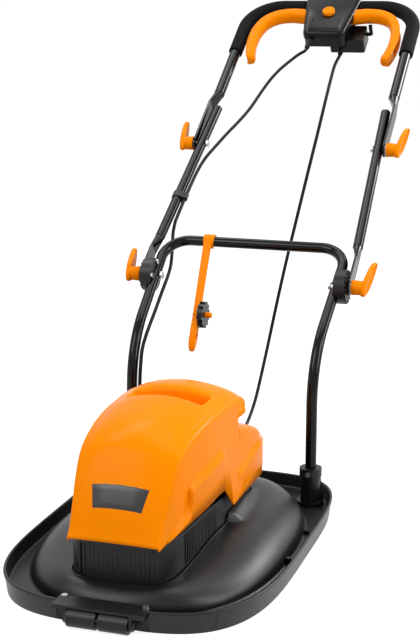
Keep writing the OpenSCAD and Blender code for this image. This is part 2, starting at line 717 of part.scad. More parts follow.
// Roller carrier: a bar across the rim's notch, feet on the trough floor and cheeks for the axle
carrier_t = 7;
carrier_sink = 1;
carrier_top_z = rim_h - carrier_sink;
carrier_w = notch_w - 2 * seat_gap;
carrier_back = 20;
carrier_back_y = rim_front_y + carrier_back;
carrier_front_share = 0.4;
carrier_front_y = roller_y - roller_r * carrier_front_share;
carrier_foot_w = 18;
carrier_foot_l = carrier_back - 2 * hood_wall - draft_at_trough - seat_gap;
carrier_foot_in = 14;
carrier_foot_y = rim_front_y + carrier_foot_in;
carrier_screw_x = notch_w / 2 - carrier_foot_w / 2;
cheek_wall = 5;
roller_room = 1.5;
module roller_carrier() color(black_plastic) on_deck() difference() {
    union() {
        translate([-carrier_w / 2, carrier_front_y, carrier_top_z - carrier_t])
            cube([carrier_w, carrier_back_y - carrier_front_y, carrier_t]);
        both_sides() translate([carrier_w / 2 - carrier_foot_w, carrier_back_y - carrier_foot_l, trough_h])
            cube([carrier_foot_w, carrier_foot_l, carrier_top_z - trough_h]);
        both_sides() across(cheek_x, cheek_x + cheek_t) hull() {
            translate([roller_y, roller_r]) circle(r = axle_r + cheek_wall);
            translate([carrier_front_y, carrier_top_z - carrier_t / 2]) square([roller_r, carrier_t / 2]);
        }
    }
    translate([0, roller_y, roller_r]) along_x(-carrier_w, carrier_w, axle_r);
    translate([0, roller_y, roller_r]) along_x(-cheek_x, cheek_x, roller_r + roller_room);
    both_sides() translate([carrier_screw_x, carrier_foot_y, carrier_top_z]) screw_hole();
}
module roller_axle() color(steel) on_deck() translate([0, roller_y, roller_r])
    along_x(-cheek_x - cheek_t, cheek_x + cheek_t, axle_r);
roller_chamfer = 1;
module roller(side) color(black_plastic) on_deck() on_side(side)
    translate([roller_mid_gap / 2, roller_y, roller_r]) rotate([90, 0, 90]) rotate_extrude() polygon([
        [axle_r + run_gap, 0], [roller_r - roller_chamfer, 0], [roller_r, roller_chamfer],
        [roller_r, roller_l - roller_chamfer], [roller_r - roller_chamfer, roller_l],
        [axle_r + run_gap, roller_l]
    ]);
module roller_left() roller(-1);
module roller_right() roller(1);

// Motor: base casting on the tower floor, stator, windings, brush gear and end plate
base_foot_l = 14;
base_r = intake_r + base_foot_l;
base_leg_w = 16;
pillar_r = 5;
pillar_gap = 3;
pillar_ring_r = stator_r + pillar_r + pillar_gap;
bearing_wall = 5;
shaft_room = 2;
stator_lip = 1;
stator_seat = 6;
air_gap = 1;
module motor_base() color(steel) on_deck() difference() {
    union() {
        translate([0, 0, floor_z]) cylinder(r = bearing_r + bearing_wall, h = base_t);
        for (turn = [45 : 90 : 315]) rotate([0, 0, turn]) {
            translate([0, -base_leg_w / 2, floor_z]) cube([base_r, base_leg_w, base_t / 2]);
            translate([pillar_ring_r, 0, floor_z]) cylinder(r = pillar_r, h = stator_z + stator_h - floor_z);
        }
        translate([0, 0, floor_z]) difference() {
            cylinder(r = stator_r + stator_lip, h = stator_z - floor_z);
            translate([0, 0, -overrun])
                cylinder(r = stator_r - stator_seat, h = stator_z - floor_z + 2 * overrun);
        }
    }
    translate([0, 0, floor_z - overrun]) cylinder(r = bearing_r, h = bearing_t + overrun);
    translate([0, 0, floor_z]) cylinder(r = shaft_r + shaft_room, h = base_t + overrun);
}
// The field's slots and the windings in them, as shares of the winding's height and the armature's radius
field_slot_shares = [2, 1.2];
winding_shares = [0.7, 1.1];
winding_out_share = 0.55;
winding_over_share = 1.2;
module stator() color(steel) on_deck() translate([0, 0, stator_z]) linear_extrude(stator_h) difference() {
    circle(r = stator_r);
    circle(r = armature_r + air_gap);
    for (side = [0, 180]) rotate(side) translate([armature_r, 0])
        square([winding_h * field_slot_shares[0], armature_r * field_slot_shares[1]], center = true);
}
module field_windings() color(copper) on_deck() for (side = [0, 180]) rotate([0, 0, side])
    translate([armature_r + winding_h * winding_out_share, 0, stator_z - winding_h / 2])
        linear_extrude(stator_h + winding_h * winding_over_share)
            square([winding_h * winding_shares[0], armature_r * winding_shares[1]], center = true);
module motor_end_plate() color(steel) on_deck() difference() {
    union() {
        translate([0, 0, end_plate_z]) cylinder(r = bearing_r + bearing_wall, h = end_plate_t);
        for (turn = [45 : 90 : 315]) rotate([0, 0, turn]) {
            translate([0, -base_leg_w / 4, end_plate_z])
                cube([pillar_ring_r, base_leg_w / 2, end_plate_t / 2]);
            translate([pillar_ring_r, 0, stator_z + stator_h])
                cylinder(r = pillar_r, h = end_plate_z + end_plate_t / 2 - stator_z - stator_h);
        }
    }
    translate([0, 0, end_plate_z - overrun]) cylinder(r = bearing_r, h = bearing_t + overrun);
    translate([0, 0, end_plate_z]) cylinder(r = shaft_r + shaft_room, h = end_plate_t + overrun);
}
module bearing() difference() {
    cylinder(r = bearing_r, h = bearing_t);
    translate([0, 0, -overrun]) cylinder(r = shaft_r + run_gap, h = bearing_t + 2 * overrun);
}
module motor_bearings() color(zinc) on_deck() {
    translate([0, 0, floor_z]) bearing();
    translate([0, 0, end_plate_z]) bearing();
}
brush_w = 8;
module brush_holders() color(copper) on_deck() for (side = [45, 225]) rotate([0, 0, side])
    translate([commutator_r + seat_gap, -brush_w / 2, commutator_z + commutator_h / 2 - brush_w / 2])
        cube([pillar_ring_r - pillar_r - commutator_r - seat_gap, brush_w, brush_w]);

// Rotor: armature, shaft, hover impeller, spacer, blade and bolt turn together
armature_end_share = 0.8;
module armature() color(copper) on_deck() difference() {
    union() {
        translate([0, 0, stator_z]) cylinder(r = armature_r, h = stator_h);
        translate([0, 0, stator_z - winding_h / 2])
            cylinder(r = armature_r * armature_end_share, h = stator_h + winding_h);
    }
    translate([0, 0, stator_z - winding_h]) cylinder(r = shaft_r, h = stator_h + 3 * winding_h);
}
module commutator() color(copper) on_deck() translate([0, 0, commutator_z]) difference() {
    cylinder(r = commutator_r, h = commutator_h);
    translate([0, 0, -overrun]) cylinder(r = shaft_r, h = commutator_h + 2 * overrun);
}
shaft_foot_z = blade_z;
module motor_shaft() color(steel) on_deck() difference() {
    translate([0, 0, shaft_foot_z]) cylinder(r = shaft_r, h = shaft_top - shaft_foot_z);
    translate([0, 0, shaft_foot_z - overrun]) cylinder(r = bolt_r, h = spacer_t + overrun);
}
vanes = 9;
vane_t = 2.5;
vane_bend_share = 0.62;
vane_bend_r = impeller_r * vane_bend_share;
// One backward-curved vane, cut from a ring
module vane() intersection() {
    translate([0, vane_bend_r, 0]) difference() {
        circle(r = vane_bend_r + vane_t / 2);
        circle(r = vane_bend_r - vane_t / 2);
    }
    translate([hub_r - vane_t, 0]) square([impeller_r, vane_bend_r]);
    circle(r = impeller_r - vane_t);
}
module hover_impeller() color(black_plastic) on_deck() translate([0, 0, impeller_z]) difference() {
    union() {
        cylinder(r = impeller_r, h = impeller_t);
        cylinder(r = hub_r, h = vane_h + 2 * impeller_t);
        for (k = [0 : vanes - 1]) rotate([0, 0, 360 * k / vanes]) translate([0, 0, impeller_t / 2])
            linear_extrude(vane_h + impeller_t / 2) vane();
    }
    translate([0, 0, -overrun]) cylinder(r = shaft_r, h = vane_h + 2 * impeller_t + 2 * overrun);
}
spacer_teeth = 12;
spacer_root_share = 0.86;
spacer_tooth_share = 0.24;
spacer_tooth_w = spacer_r * spacer_tooth_share;
// A toothed spacer: it sets the cutting height when put above or below the blade
module spacer_form(bore_r) linear_extrude(spacer_t) difference() {
    union() {
        circle(r = spacer_r * spacer_root_share);
        for (k = [0 : spacer_teeth - 1]) rotate(360 * k / spacer_teeth)
            translate([0, -spacer_tooth_w / 2]) square([spacer_r, spacer_tooth_w]);
    }
    circle(r = bore_r);
}
module blade_spacer() color(black_plastic) on_deck()
    translate([0, 0, blade_z + blade_t]) spacer_form(shaft_r);
// One half of the blade, as shares of its width: corners out from the middle, then corners in from the tip
blade_root_shares = [[1.1, 0.34], [0.5, 0.5], [-0.3, 0.5], [-0.3, -0.5]];
blade_tip_shares = [[0.3, -0.5], [0.07, -0.1], [0.07, 0.22]];
module cutting_blade() color(steel) on_deck()
    translate([0, 0, blade_z]) linear_extrude(blade_t) difference() {
    for (side = [0, 180]) rotate(side) polygon(concat([for (s = blade_root_shares) blade_w * s],
        [for (s = blade_tip_shares) [blade_l / 2 - blade_w * s.x, blade_w * s.y]]));
    circle(r = shaft_r);
}
blade_bolt_share = 1.4;
module blade_bolt() color(zinc) on_deck() {
    translate([0, 0, bolt_head_z]) cylinder(r = bolt_head_r * blade_bolt_share, h = blade_bolt_h, $fn = 6);
    translate([0, 0, blade_z]) cylinder(r = bolt_r, h = spacer_t);
}

// Lower handle: one bent tube from socket to socket
function deck_point(p) =
    [p.x, pivot_y + p.y * cos(lean) - p.z * sin(lean), pivot_z + p.y * sin(lean) + p.z * cos(lean)];
lower_points = [[-socket_x, socket_y, leg_foot_z], [-socket_x, socket_y, leg_bend_h],
    deck_point([-cross_x, cross_run, 0]), deck_point([cross_x, cross_run, 0]),
    [socket_x, socket_y, leg_bend_h], [socket_x, socket_y, leg_foot_z]];
lower_bends = [0, leg_bend_r, cross_bend_r, cross_bend_r, leg_bend_r, 0];
module lower_handle() color(black_paint) on_deck() difference() {
    tube_run(lower_points, lower_bends, tube_r, tube_r - tube_wall);
    translate([0, pivot_y, pivot_z]) along_x(-block_out, block_out, bolt_r);
}

// Ratchet blocks: toothed discs saddled on the legs at the fold pivot
ratchet_teeth = 20;
tooth_h = 2;
block_boss_share = 0.5;
tooth_start_share = 0.4;
tooth_l_share = 0.56;
block_screw_u = 17;
block_screw_gap = 5;
block_screw_n = tube_r + screw_r + block_screw_gap;
module at_block_screws() for (u = [-block_screw_u, block_screw_u])
    translate([leg_x, u, block_screw_n]) rotate([0, -90, 0]) children();
module ratchet_blocks() color(black_plastic) on_handle() both_sides() difference() {
    union() {
        along_x(leg_x, block_out - tooth_h, block_r);
        along_x(leg_x, block_out, block_r * block_boss_share);
        for (k = [0 : ratchet_teeth - 1]) rotate([360 * k / ratchet_teeth, 0, 0])
            translate([block_out - 2 * tooth_h, block_r * tooth_start_share, -tooth_h])
                cube([2 * tooth_h, block_r * tooth_l_share, 2 * tooth_h]);
    }
    rod([socket_x, -leg_run, 0], [cross_x, cross_run, 0], tube_r + run_gap);
    along_x(0, block_out + overrun, bolt_r);
    at_block_screws() screw_hole();
}
module ratchet_screws() color(zinc) on_handle() both_sides() at_block_screws() screw();

// Clamp bolts, heads inside, ends in the knobs
module clamp_bolt(head_x, end_x) {
    along_x(head_x - bolt_head_h, head_x, bolt_head_r);
    along_x(head_x, end_x, bolt_r);
}
knob_grip_share = 0.8;
module lower_bolts() color(zinc) on_handle() both_sides()
    clamp_bolt(leg_x - tube_r - seat_gap, low_knob_x + knob_l * knob_grip_share);
module upper_bolts() color(zinc) on_handle() both_sides() translate([0, upper_run, 0])
    clamp_bolt(middle_x - tube_r - seat_gap, high_knob_x + knob_l * knob_grip_share);
module washer(x) translate([x, 0, 0]) difference() {
    along_x(0, washer_t, washer_r);
    along_x(-overrun, washer_t + overrun, bolt_r + run_gap);
}
module lower_washers() color(zinc) on_handle() both_sides() washer(low_washer_x);
module upper_washers() color(zinc) on_handle() both_sides()
    translate([0, upper_run, 0]) washer(high_washer_x);

// A flattened tube end: an eye round the bolt, then a crimp that opens into the round tube
module flat_end(eye_x, tube_x, radius, flat_l) {
    translate([eye_x - flat_t / 2, 0, 0]) rotate([90, 0, 90]) linear_extrude(flat_t) {
        circle(r = flat_w / 2);
        translate([0, -flat_w / 2]) square([flat_l, flat_w]);
    }
    hull() {
        translate([eye_x - flat_t / 2 + crimp_step, flat_l - bend_lap, crimp_step - flat_w / 2])
            cube([flat_t - 2 * crimp_step, bend_lap, flat_w - 2 * crimp_step]);
        translate([tube_x, flat_l + crimp_l, 0]) rotate([-90, 0, 0])
            cylinder(r = radius - tube_wall / 2, h = bend_lap, $fn = 32);
    }
}
function middle_at(u) = [flat_x + (cap_x - flat_x) * u / middle_l, u, 0];
module middle_tube(side) color(black_paint) on_handle() on_side(side) difference() {
    union() {
        flat_end(flat_x, middle_at(flat_l + crimp_l).x, tube_r, flat_l);
        rod(middle_at(flat_l + crimp_l), middle_at(middle_l), tube_r, tube_r - tube_wall);
    }
    along_x(0, flat_x + block_r, bolt_r + run_gap);
    translate([0, upper_run, 0]) along_x(0, flat_x + block_r, bolt_r);
}
module middle_tube_left() middle_tube(-1);
module middle_tube_right() middle_tube(1);
cap_l = 12;
module tube_caps() color(black_plastic) on_handle() both_sides() {
    rod(middle_at(middle_l), middle_at(middle_l + cap_l / 4), tube_r);
    rod(middle_at(middle_l - cap_l), middle_at(middle_l), tube_r - tube_wall);
}

// Handlebar: flattened ends at the upper pivots and one bar bent twice
bar_flat_over = 12;
bar_flat_l = middle_l - upper_run + bar_flat_over;
bar_foot_u = upper_run + bar_flat_l + crimp_l;
bar_points = [[-bar_x, bar_foot_u, 0], [-bar_x, bar_u, 0], [bar_x, bar_u, 0], [bar_x, bar_foot_u, 0]];
bar_bends = [0, bar_bend_r, bar_bend_r, 0];
module handlebar() color(black_paint) on_handle() difference() {
    union() {
        tube_run(bar_points, bar_bends, bar_r, bar_r - tube_wall);
        both_sides() translate([0, upper_run, 0]) flat_end(bar_flat_x, bar_x, bar_r, bar_flat_l);
    }
    translate([0, upper_run, 0]) along_x(-bar_x - block_r, bar_x + block_r, bolt_r + run_gap);
}
grip_in_x = box_w / 2 + seat_gap;
grip_points = [[grip_in_x, bar_u, 0], [bar_x, bar_u, 0], [bar_x, grip_u, 0]];
grip_bends = [0, bar_bend_r, 0];
module grip(side) color(foam) on_handle() on_side(side) tube_run(grip_points, grip_bends, grip_r, bar_r);
module grip_left() grip(-1);
module grip_right() grip(1);

// Switch box: two shells clamped round the bar, tapering to a tongue, with a raised ridge in front
box_corner_r = 9;
box_toe_r = 14;
box_toe_share = 0.75;
box_rim = 5;
box_wall = 3;
ridge_h = 2;
ridge_w = 4;
// Walls round the lever pins and the lead's gland, and the room round a lever in its slot
pin_wall = 3.5;
gland_post_r = 19.5;
lever_room = 1;
lever_swing_room = 4;
module round_corners() offset(r = box_rim) offset(delta = -box_rim) children();
module box_outline(inset) offset(delta = -inset) hull() for (side = [-1, 1]) {
    translate([side * (box_w / 2 - box_corner_r), box_top_u - box_corner_r]) circle(r = box_corner_r);
    translate([side * (box_w / 2 * box_toe_share - box_toe_r), box_low_u + box_toe_r]) circle(r = box_toe_r);
}
// Inside of the box that stays solid round the bar, the lever pins and the lead's gland
module box_posts() {
    translate([0, bar_u]) square([box_w, 3 * bar_r], center = true);
    for (side = [-1, 1]) translate([side * lever_pivot_x, lever_pivot_u]) circle(r = lever_pin_r + pin_wall);
    translate([lead_exit_x, box_low_u]) circle(r = gland_post_r);
}
lever_slot_n = lever_w / 2 + lever_room;
lever_slot_u = lever_t / 2 + lever_swing_room;
module box_cuts() {
    translate([0, bar_u, 0]) along_x(-box_w, box_w, bar_r);
    both_sides() translate([lever_pivot_x, lever_pivot_u, -box_back_h + box_wall])
        cylinder(r = lever_pin_r + run_gap, h = lever_pin_l + 2 * seat_gap);
    both_sides() translate([lever_pivot_x - lever_slot_u, lever_pivot_u - lever_slot_u, -lever_slot_n])
        cube([box_w, 2 * lever_slot_u, 2 * lever_slot_n]);
    translate([lead_exit_x, box_low_u, 0]) rotate([-90, 0, 0])
        cylinder(r = gland_r, h = gland_l, center = true);
}
lever_pin_l = box_back_h + box_front_h - box_rim - 2 * box_wall;
module switch_box() color(black_plastic) on_handle() difference() {
    union() {
        linear_extrude(box_front_h - box_rim) box_outline(0);
        linear_extrude(box_front_h) box_outline(box_rim);
        linear_extrude(box_front_h + ridge_h) difference() {
            box_outline(3 * box_rim);
            box_outline(3 * box_rim + ridge_w);
            translate([-box_w, button_u - button_r - ridge_h]) square([2 * box_w, box_l]);
        }
    }
    translate([0, 0, -overrun]) linear_extrude(box_front_h - box_rim - box_wall + overrun) difference() {
        box_outline(box_wall);
        box_posts();
    }
    translate([0, button_u, 0]) cylinder(r = button_r + run_gap, h = box_w);
    box_cuts();
    at_box_screws() screw_hole(box_screw_l);
}
module switch_box_back() color(black_plastic) on_handle() difference() {
    translate([0, 0, -box_back_h]) linear_extrude(box_back_h) box_outline(box_wall / 2);
    translate([0, 0, -box_back_h + box_wall]) linear_extrude(box_back_h) difference() {
        box_outline(box_wall / 2 + box_wall);
        box_posts();
    }
    box_cuts();
    at_box_screws() screw_hole(box_screw_l);
}
box_screw_l = box_back_h - box_wall / 2;
box_screw_x = box_w / 4;
box_screw_gap = 1;
box_screw_u = bar_u - bar_r - screw_r - box_screw_gap;
module at_box_screws() for (side = [-1, 1])
    translate([side * box_screw_x, box_screw_u, -box_back_h]) mirror([0, 0, 1]) children();
module box_screws() color(zinc) on_handle() at_box_screws() screw();
switch_w = 30;
switch_l = 16;
switch_h = 19;
switch_u = button_u - button_r - switch_l;
module trigger_switch() color(switch_grey) on_handle()
    translate([-switch_w / 2, switch_u - switch_l / 2, -box_back_h + box_wall])
        cube([switch_w, switch_l, switch_h]);
// Lock button: a stepped cap that slides in the front shell, with a rounded rim and a slightly crowned face
button_flange = 2;
button_proud = 7;
button_taper = 1;
button_edge = 2;
button_crown = 0.5;
button_low_n = box_front_h - box_rim - box_wall - button_travel - button_flange - seat_gap;
button_top_n = box_front_h + button_proud;
module lock_button() color(orange_plastic) on_handle() translate([0, button_u, 0]) rotate_extrude() polygon([
    [0, button_low_n], [button_r - button_taper, button_low_n], [button_r, box_front_h - box_rim - box_wall],
    [button_r, button_top_n - button_edge], [button_r - button_edge, button_top_n - button_crown],
    [button_r / 2, button_top_n], [0, button_top_n]
]);

// Inlet block under the box's right side, with a hook for the extension lead
inlet_x0 = 4;
inlet_w = 74;
inlet_l = 50;
inlet_h = 32;
hook_r = 4;
hook_h = 22.4;
hook_share = 0.85;
inlet_top_n = -box_back_h - seat_gap;
inlet_mid_n = inlet_top_n - inlet_h / 2;
module inlet_block() color(black_plastic) on_handle() difference() {
    union() {
        translate([inlet_x0, inlet_u, inlet_top_n - inlet_h]) linear_extrude(inlet_h) round_corners()
            square([inlet_w, inlet_l]);
        translate([inlet_x0 + inlet_w, inlet_u + inlet_l * hook_share, inlet_mid_n]) {
            along_x(-hook_r, 2 * hook_r, hook_r);
            translate([2 * hook_r, 0, 0]) cylinder(r = hook_r, h = hook_h);
        }
    }
    translate([mains_exit_x, inlet_u, inlet_mid_n]) rotate([-90, 0, 0])
        cylinder(r = gland_r, h = gland_l, center = true);
}
// Tapered strain reliefs where the leads leave the handle
gland_lip = 1;
gland_wall = 1.5;
module gland(lead_r) rotate([90, 0, 0]) difference() {
    union() {
        translate([0, 0, -gland_l / 2]) cylinder(r = gland_r - run_gap, h = gland_l / 2);
        cylinder(r1 = gland_r + gland_lip, r2 = lead_r + gland_wall, h = gland_l);
    }
    cylinder(r = lead_r + seat_gap, h = gland_l + overrun);
}
module mains_gland() color(black_plastic) on_handle()
    translate([mains_exit_x, inlet_u, inlet_mid_n]) gland(cord_d / 2);
module motor_lead_gland() color(black_plastic) on_handle()
    translate([lead_exit_x, box_low_u - seat_gap, 0]) gland(lead_d / 2);

// Trigger levers: curved channels inside the grips, open towards the bar, each on a pin through the box
lever_route_shares = [[0, 0], [0.2, 0.03], [0.42, 0.04], [0.66, 0], [0.86, -0.12], [0.97, -0.32], [1, -0.56],
    [0.97, -0.8], [0.9, -1]];
lever_gap = 6;
lever_reach = bar_x - grip_r - lever_gap - lever_t / 2 - lever_pivot_x;
lever_over = 26;
lever_drop = lever_pivot_u - grip_u + lever_over;
lever_tip_share = 0.72;
// The channel's lip and floor at its closed ends and along its open length, as shares of half its depth
lip_shares = [1.04, 1];
floor_shares = [1.06, -0.4];
// Outline of the channel, as shares of half its depth and half its width; the floor comes up at both ends
function lever_section(open_share) =
    let (lip_share = mix(lip_shares[0], lip_shares[1], open_share),
        floor_share = mix(floor_shares[0], floor_shares[1], open_share))
    [[1, -1], [-0.6, -1], [-1, -0.6], [-1, 0.6], [-0.6, 1], [1, 1], [lip_share, 0.8], [floor_share, 0.72],
        [floor_share, -0.72], [lip_share, -0.8]];
function lever_rings() =
    let (points = [for (s = lever_route_shares)
            [lever_pivot_x + lever_reach * s.x, lever_pivot_u + lever_drop * s.y, 0]],
        route = smooth(points, 2),
        last = len(route) - 1)
    [for (i = [0 : last])
        let (way = unit(route[min(i + 1, last)] - route[max(i - 1, 0)]),
            side = [-way.y, way.x, 0],
            size_share = mix(1, lever_tip_share, i / last) * (i == last ? lever_tip_share : 1),
            open_share = max(0, min(1, (i - 3) / 2, (last - 1 - i) / 2)))
        [for (c = lever_section(open_share))
            route[i] + size_share * (side * lever_t / 2 * c.x + [0, 0, lever_w / 2 * c.y])]];
module trigger(side) color(orange_plastic) on_handle() on_side(side) {
    loft(lever_rings());
    translate([lever_pivot_x, lever_pivot_u, -box_back_h + box_wall + seat_gap])
        cylinder(r = lever_pin_r, h = lever_pin_l);
}
module trigger_left() trigger(-1);
module trigger_right() trigger(1);

// Wing knobs: a round hub with one dished wing
wing_t = 8;
wing_tip_r = 7;
wing_lean = 10;
wing_set_in = 1;
knob_taper = 1.5;
// The dish in the wing: its floor, where it starts, and the size of its round ends, as shares
dish_floor_share = 0.6;
dish_start_share = 0.4;
dish_end_share = 0.5;
module teardrop(start_x, start_r, end_x, end_r) hull() {
    translate([start_x, 0]) circle(r = start_r);
    translate([end_x, 0]) circle(r = end_r);
}
module on_wing(out) translate([knob_l - wing_t - wing_set_in, 0, 0]) rotate([0, 0, -wing_lean])
    translate([out, 0, 0]) rotate([90, 0, 90]) linear_extrude(wing_t) children();
module knob(x, u, side) color(orange_plastic) on_handle() on_side(side) translate([x, u, 0]) difference() {
    union() {
        rotate([90, 0, 90]) cylinder(r1 = knob_r, r2 = knob_r - knob_taper, h = knob_l);
        on_wing(0) teardrop(0, knob_r - knob_taper, wing_l - wing_tip_r, wing_tip_r);
    }
    along_x(-overrun, knob_l * knob_grip_share + seat_gap, bolt_r + run_gap);
    on_wing(wing_t * dish_floor_share) teardrop(wing_l * dish_start_share, knob_r * dish_end_share,
        wing_l - wing_tip_r - wing_set_in, wing_tip_r * dish_end_share);
}
module knob_lower_left() knob(low_knob_x, 0, -1);
module knob_lower_right() knob(low_knob_x, 0, 1);
module knob_upper_left() knob(high_knob_x, upper_run, -1);
module knob_upper_right() knob(high_knob_x, upper_run, 1);

// Leads held by the handle: switch box to tube, along the tube, and on past the fold to the cover
lead_start = [lead_exit_x, box_low_u - 2 * seat_gap, 0];
lead_way = [0, -1, 0];
// Each lead's first points, as shares of its strain relief's length
lead_start_shares = [0, 0.5, 1, 1.3];
module motor_lead_upper() color(black_plastic) on_handle()
    lead(concat([for (s = lead_start_shares) lead_start + lead_way * gland_l * s], lead_upper_route), lead_d,
        [0, 0, 1]);
module motor_lead_middle() color(black_plastic) on_handle() lead(lead_middle_route, lead_d, [0, 0, 1]);
grommet_l = 6;
grommet_lip = 2;
lead_end_y = cover_tail_y + grommet_l + lead_d;
module motor_lead_lower() color(black_plastic) on_deck()
    lead(concat([for (p = lead_lower_route) deck_point(p)], lead_foot_route,
        [for (k = [1, 0.5, 0]) [grommet_x, mix(cover_tail_y, lead_end_y, k), grommet_z]]),
        lead_d, [0.2, -0.6, 0.8]);
module lead_grommet() color(black_plastic) on_deck() translate([grommet_x, cover_tail_y, grommet_z])
    rotate([-90, 0, 0]) difference() {
        union() {
            cylinder(r = grommet_r + grommet_lip, h = grommet_l);
            translate([0, 0, -cover_wall]) cylinder(r = grommet_r - run_gap, h = cover_wall);
        }
        cylinder(r = lead_d / 2 + seat_gap, h = grommet_l + overrun);
    }
clip_u = 205;
clip_l = 14;
clip_wall = 2;
clip_lead_x = lead_middle_route[3].x;
module clip_round(x, radius) translate([x, clip_u - clip_l / 2, 0]) rotate([-90, 0, 0])
    cylinder(r = radius, h = clip_l, $fn = 32);
module lead_clip() color(black_plastic) on_handle() difference() {
    hull() {
        clip_round(-middle_at(clip_u).x, tube_r + clip_wall);
        clip_round(clip_lead_x, lead_d / 2 + clip_wall);
    }
    mirror([1, 0, 0]) rod(middle_at(0), middle_at(middle_l), tube_r + run_gap);
    translate([clip_lead_x, clip_u, 0]) rotate([90, 0, 0])
        cylinder(r = lead_d / 2 + seat_gap, h = 2 * clip_l, center = true);
}

// Mains lead: from the gland down to the stored coil
mains_start = deck_point([mains_exit_x, inlet_u, inlet_mid_n]);
mains_start_shares = [0.02, 0.5, 1, 1.3];
mains_way = [0, -cos(lean), -sin(lean)];
coil_top_z = coil_z + (coil_layers - 1) * coil_pitch;
coil_join = [coil_x + coil_d / 2 + coil_turns * coil_pitch / 2, coil_y, coil_top_z];
module mains_lead() color(black_plastic) on_deck()
    lead(concat([for (s = mains_start_shares) mains_start + mains_way * gland_l * s], mains_route,
        [coil_join + [0, join_gap, 0]]), cord_d, [0.6, 0.6, 0.53]);

// Stored coil: each layer spirals in or out at a steady rate and climbs where the spiral turns back
function coil_radius(turn) =
    let (part = turn % (2 * coil_turns))
    coil_d / 2 + coil_pitch * (abs(part - coil_turns) - coil_turns / 2);
// A climb takes half a turn, from a quarter turn before the winding turns back to a quarter after it
climb_share = 0.5;
function coil_height(turn) =
    let (ahead = turn + climb_share / 2,
        layer = min(floor(ahead / coil_turns), coil_layers - 1),
        into = ahead - layer * coil_turns)
    coil_z + coil_pitch * (layer == 0 ? 0 : layer - 1 + ease(into, 0, climb_share));
function coil_point(turn) = let (radius = coil_radius(turn))
    [coil_x + radius * cos(360 * turn), coil_y + radius * sin(360 * turn), coil_height(turn)];
plug_y = coil_y - plug_tail;
plug_z = plug_h / 2;
coil_out = coil_point(0);
coil_points = concat([[coil_out.x, plug_y, plug_z], [coil_out.x, plug_y + cord_d, plug_z],
    [coil_out.x, mix(plug_y + cord_d, coil_y, 0.5), mix(plug_z, coil_z, 0.5)]],
    [for (k = [0 : coil_layers * coil_turns * coil_rings]) coil_point(k / coil_rings)]);
// Gaps between the cord and itself, each point set against its neighbours in the other turns
function coil_gaps() = [
    for (k = [3 : len(coil_points) - coil_rings - 2], turn = [1 : 2 * coil_turns], near = [-1, 0, 1])
        let (other = k + turn * coil_rings + near)
        if (other < len(coil_points)) norm(coil_points[other] - coil_points[k]) - cord_d
];
module mains_coil() color(black_plastic) on_deck() {
    echo(least_coil_gap = min(coil_gaps()));
    loft(lead_rings(coil_points, cord_d / 2, coil_sides, [0, 0, 1]));
}
tie_in_r = coil_d / 2 - coil_turns * coil_pitch / 2 - cord_d / 2 - 2 * seat_gap;
tie_out_r = coil_d / 2 + coil_turns * coil_pitch / 2 + cord_d / 2 + 2 * seat_gap;
tie_top_z = coil_top_z + cord_d / 2 + 2 * seat_gap;
tie_slack_in = 2;
tie_slack_out = 1;
tie_room_w = tie_out_r - tie_in_r + tie_slack_in + tie_slack_out;
tie_x = coil_x - tie_in_r + tie_slack_in;
module coil_tie() color(black_plastic) on_deck() translate([tie_x, coil_y + tie_w / 2, 0])
    rotate([90, 0, 0]) linear_extrude(tie_w) mirror([1, 0]) difference() {
        translate([-tie_t, 0]) square([tie_room_w + 2 * tie_t, tie_top_z + tie_t]);
        translate([0, tie_t]) square([tie_room_w, tie_top_z - tie_t]);
    }
pin_w = 6;
module mains_plug() color(black_plastic) on_deck() translate([coil_out.x, plug_y, 0]) {
    translate([-plug_w / 2, -plug_l, 0]) linear_extrude(plug_h) round_corners() square([plug_w, plug_l]);
    for (x = [-plug_w / 4, 0, plug_w / 4])
        translate([x - pin_w / 2, -plug_l - plug_pin_l, plug_z - pin_w / 4])
            cube([pin_w, plug_pin_l, pin_w / 2]);
}

// Blade spanner: a clip over the crossbar, a flat shank, a peg for the spare spacer and a box end
module at_spanner() on_deck()
    translate([spanner_x, cross_y, cross_z]) rotate([-spanner_tilt, 0, 0]) children();
clip_in_r = tube_r + seat_gap;
paddle_w = 22;
paddle_l = 36;
paddle_t = 9;
socket_hex_r = 8;
// The shank's front face and the peg's middle, measured forward from the crossbar
shank_y = -clip_in_r - clip_t - shank_t / 2;
peg_y = shank_y + shank_t / 2;
clip_open_z = -tube_r - clip_t - overrun;
module blade_spanner() color(orange_plastic) at_spanner() difference() {
    union() {
        along_x(-clip_w / 2, clip_w / 2, clip_in_r + clip_t);
        translate([-shank_w / 2, shank_y, -spanner_l + paddle_l / 2])
            cube([shank_w, shank_t, spanner_l - paddle_l / 2]);
        translate([-paddle_w / 2, shank_y + paddle_t, -spanner_l]) rotate([90, 0, 0]) linear_extrude(paddle_t)
            round_corners() square([paddle_w, paddle_l]);
        translate([0, peg_y, -peg_drop]) along_x(-shank_w / 2, shank_w / 2 + peg_l, peg_r);
    }
    along_x(-clip_w, clip_w, clip_in_r);
    translate([-clip_w, 0, clip_open_z]) cube([2 * clip_w, clip_in_r + clip_t + overrun, -clip_open_z]);
    translate([0, shank_y - overrun, -spanner_l + paddle_l / 2]) rotate([-90, 0, 0])
        cylinder(r = socket_hex_r, h = paddle_t + 2 * overrun, $fn = 6);
}
module spare_spacer() color(black_plastic) at_spanner() translate([shank_w / 2 + seat_gap, peg_y, -peg_drop])
    rotate([0, 90, 0]) spacer_form(peg_r + run_gap);

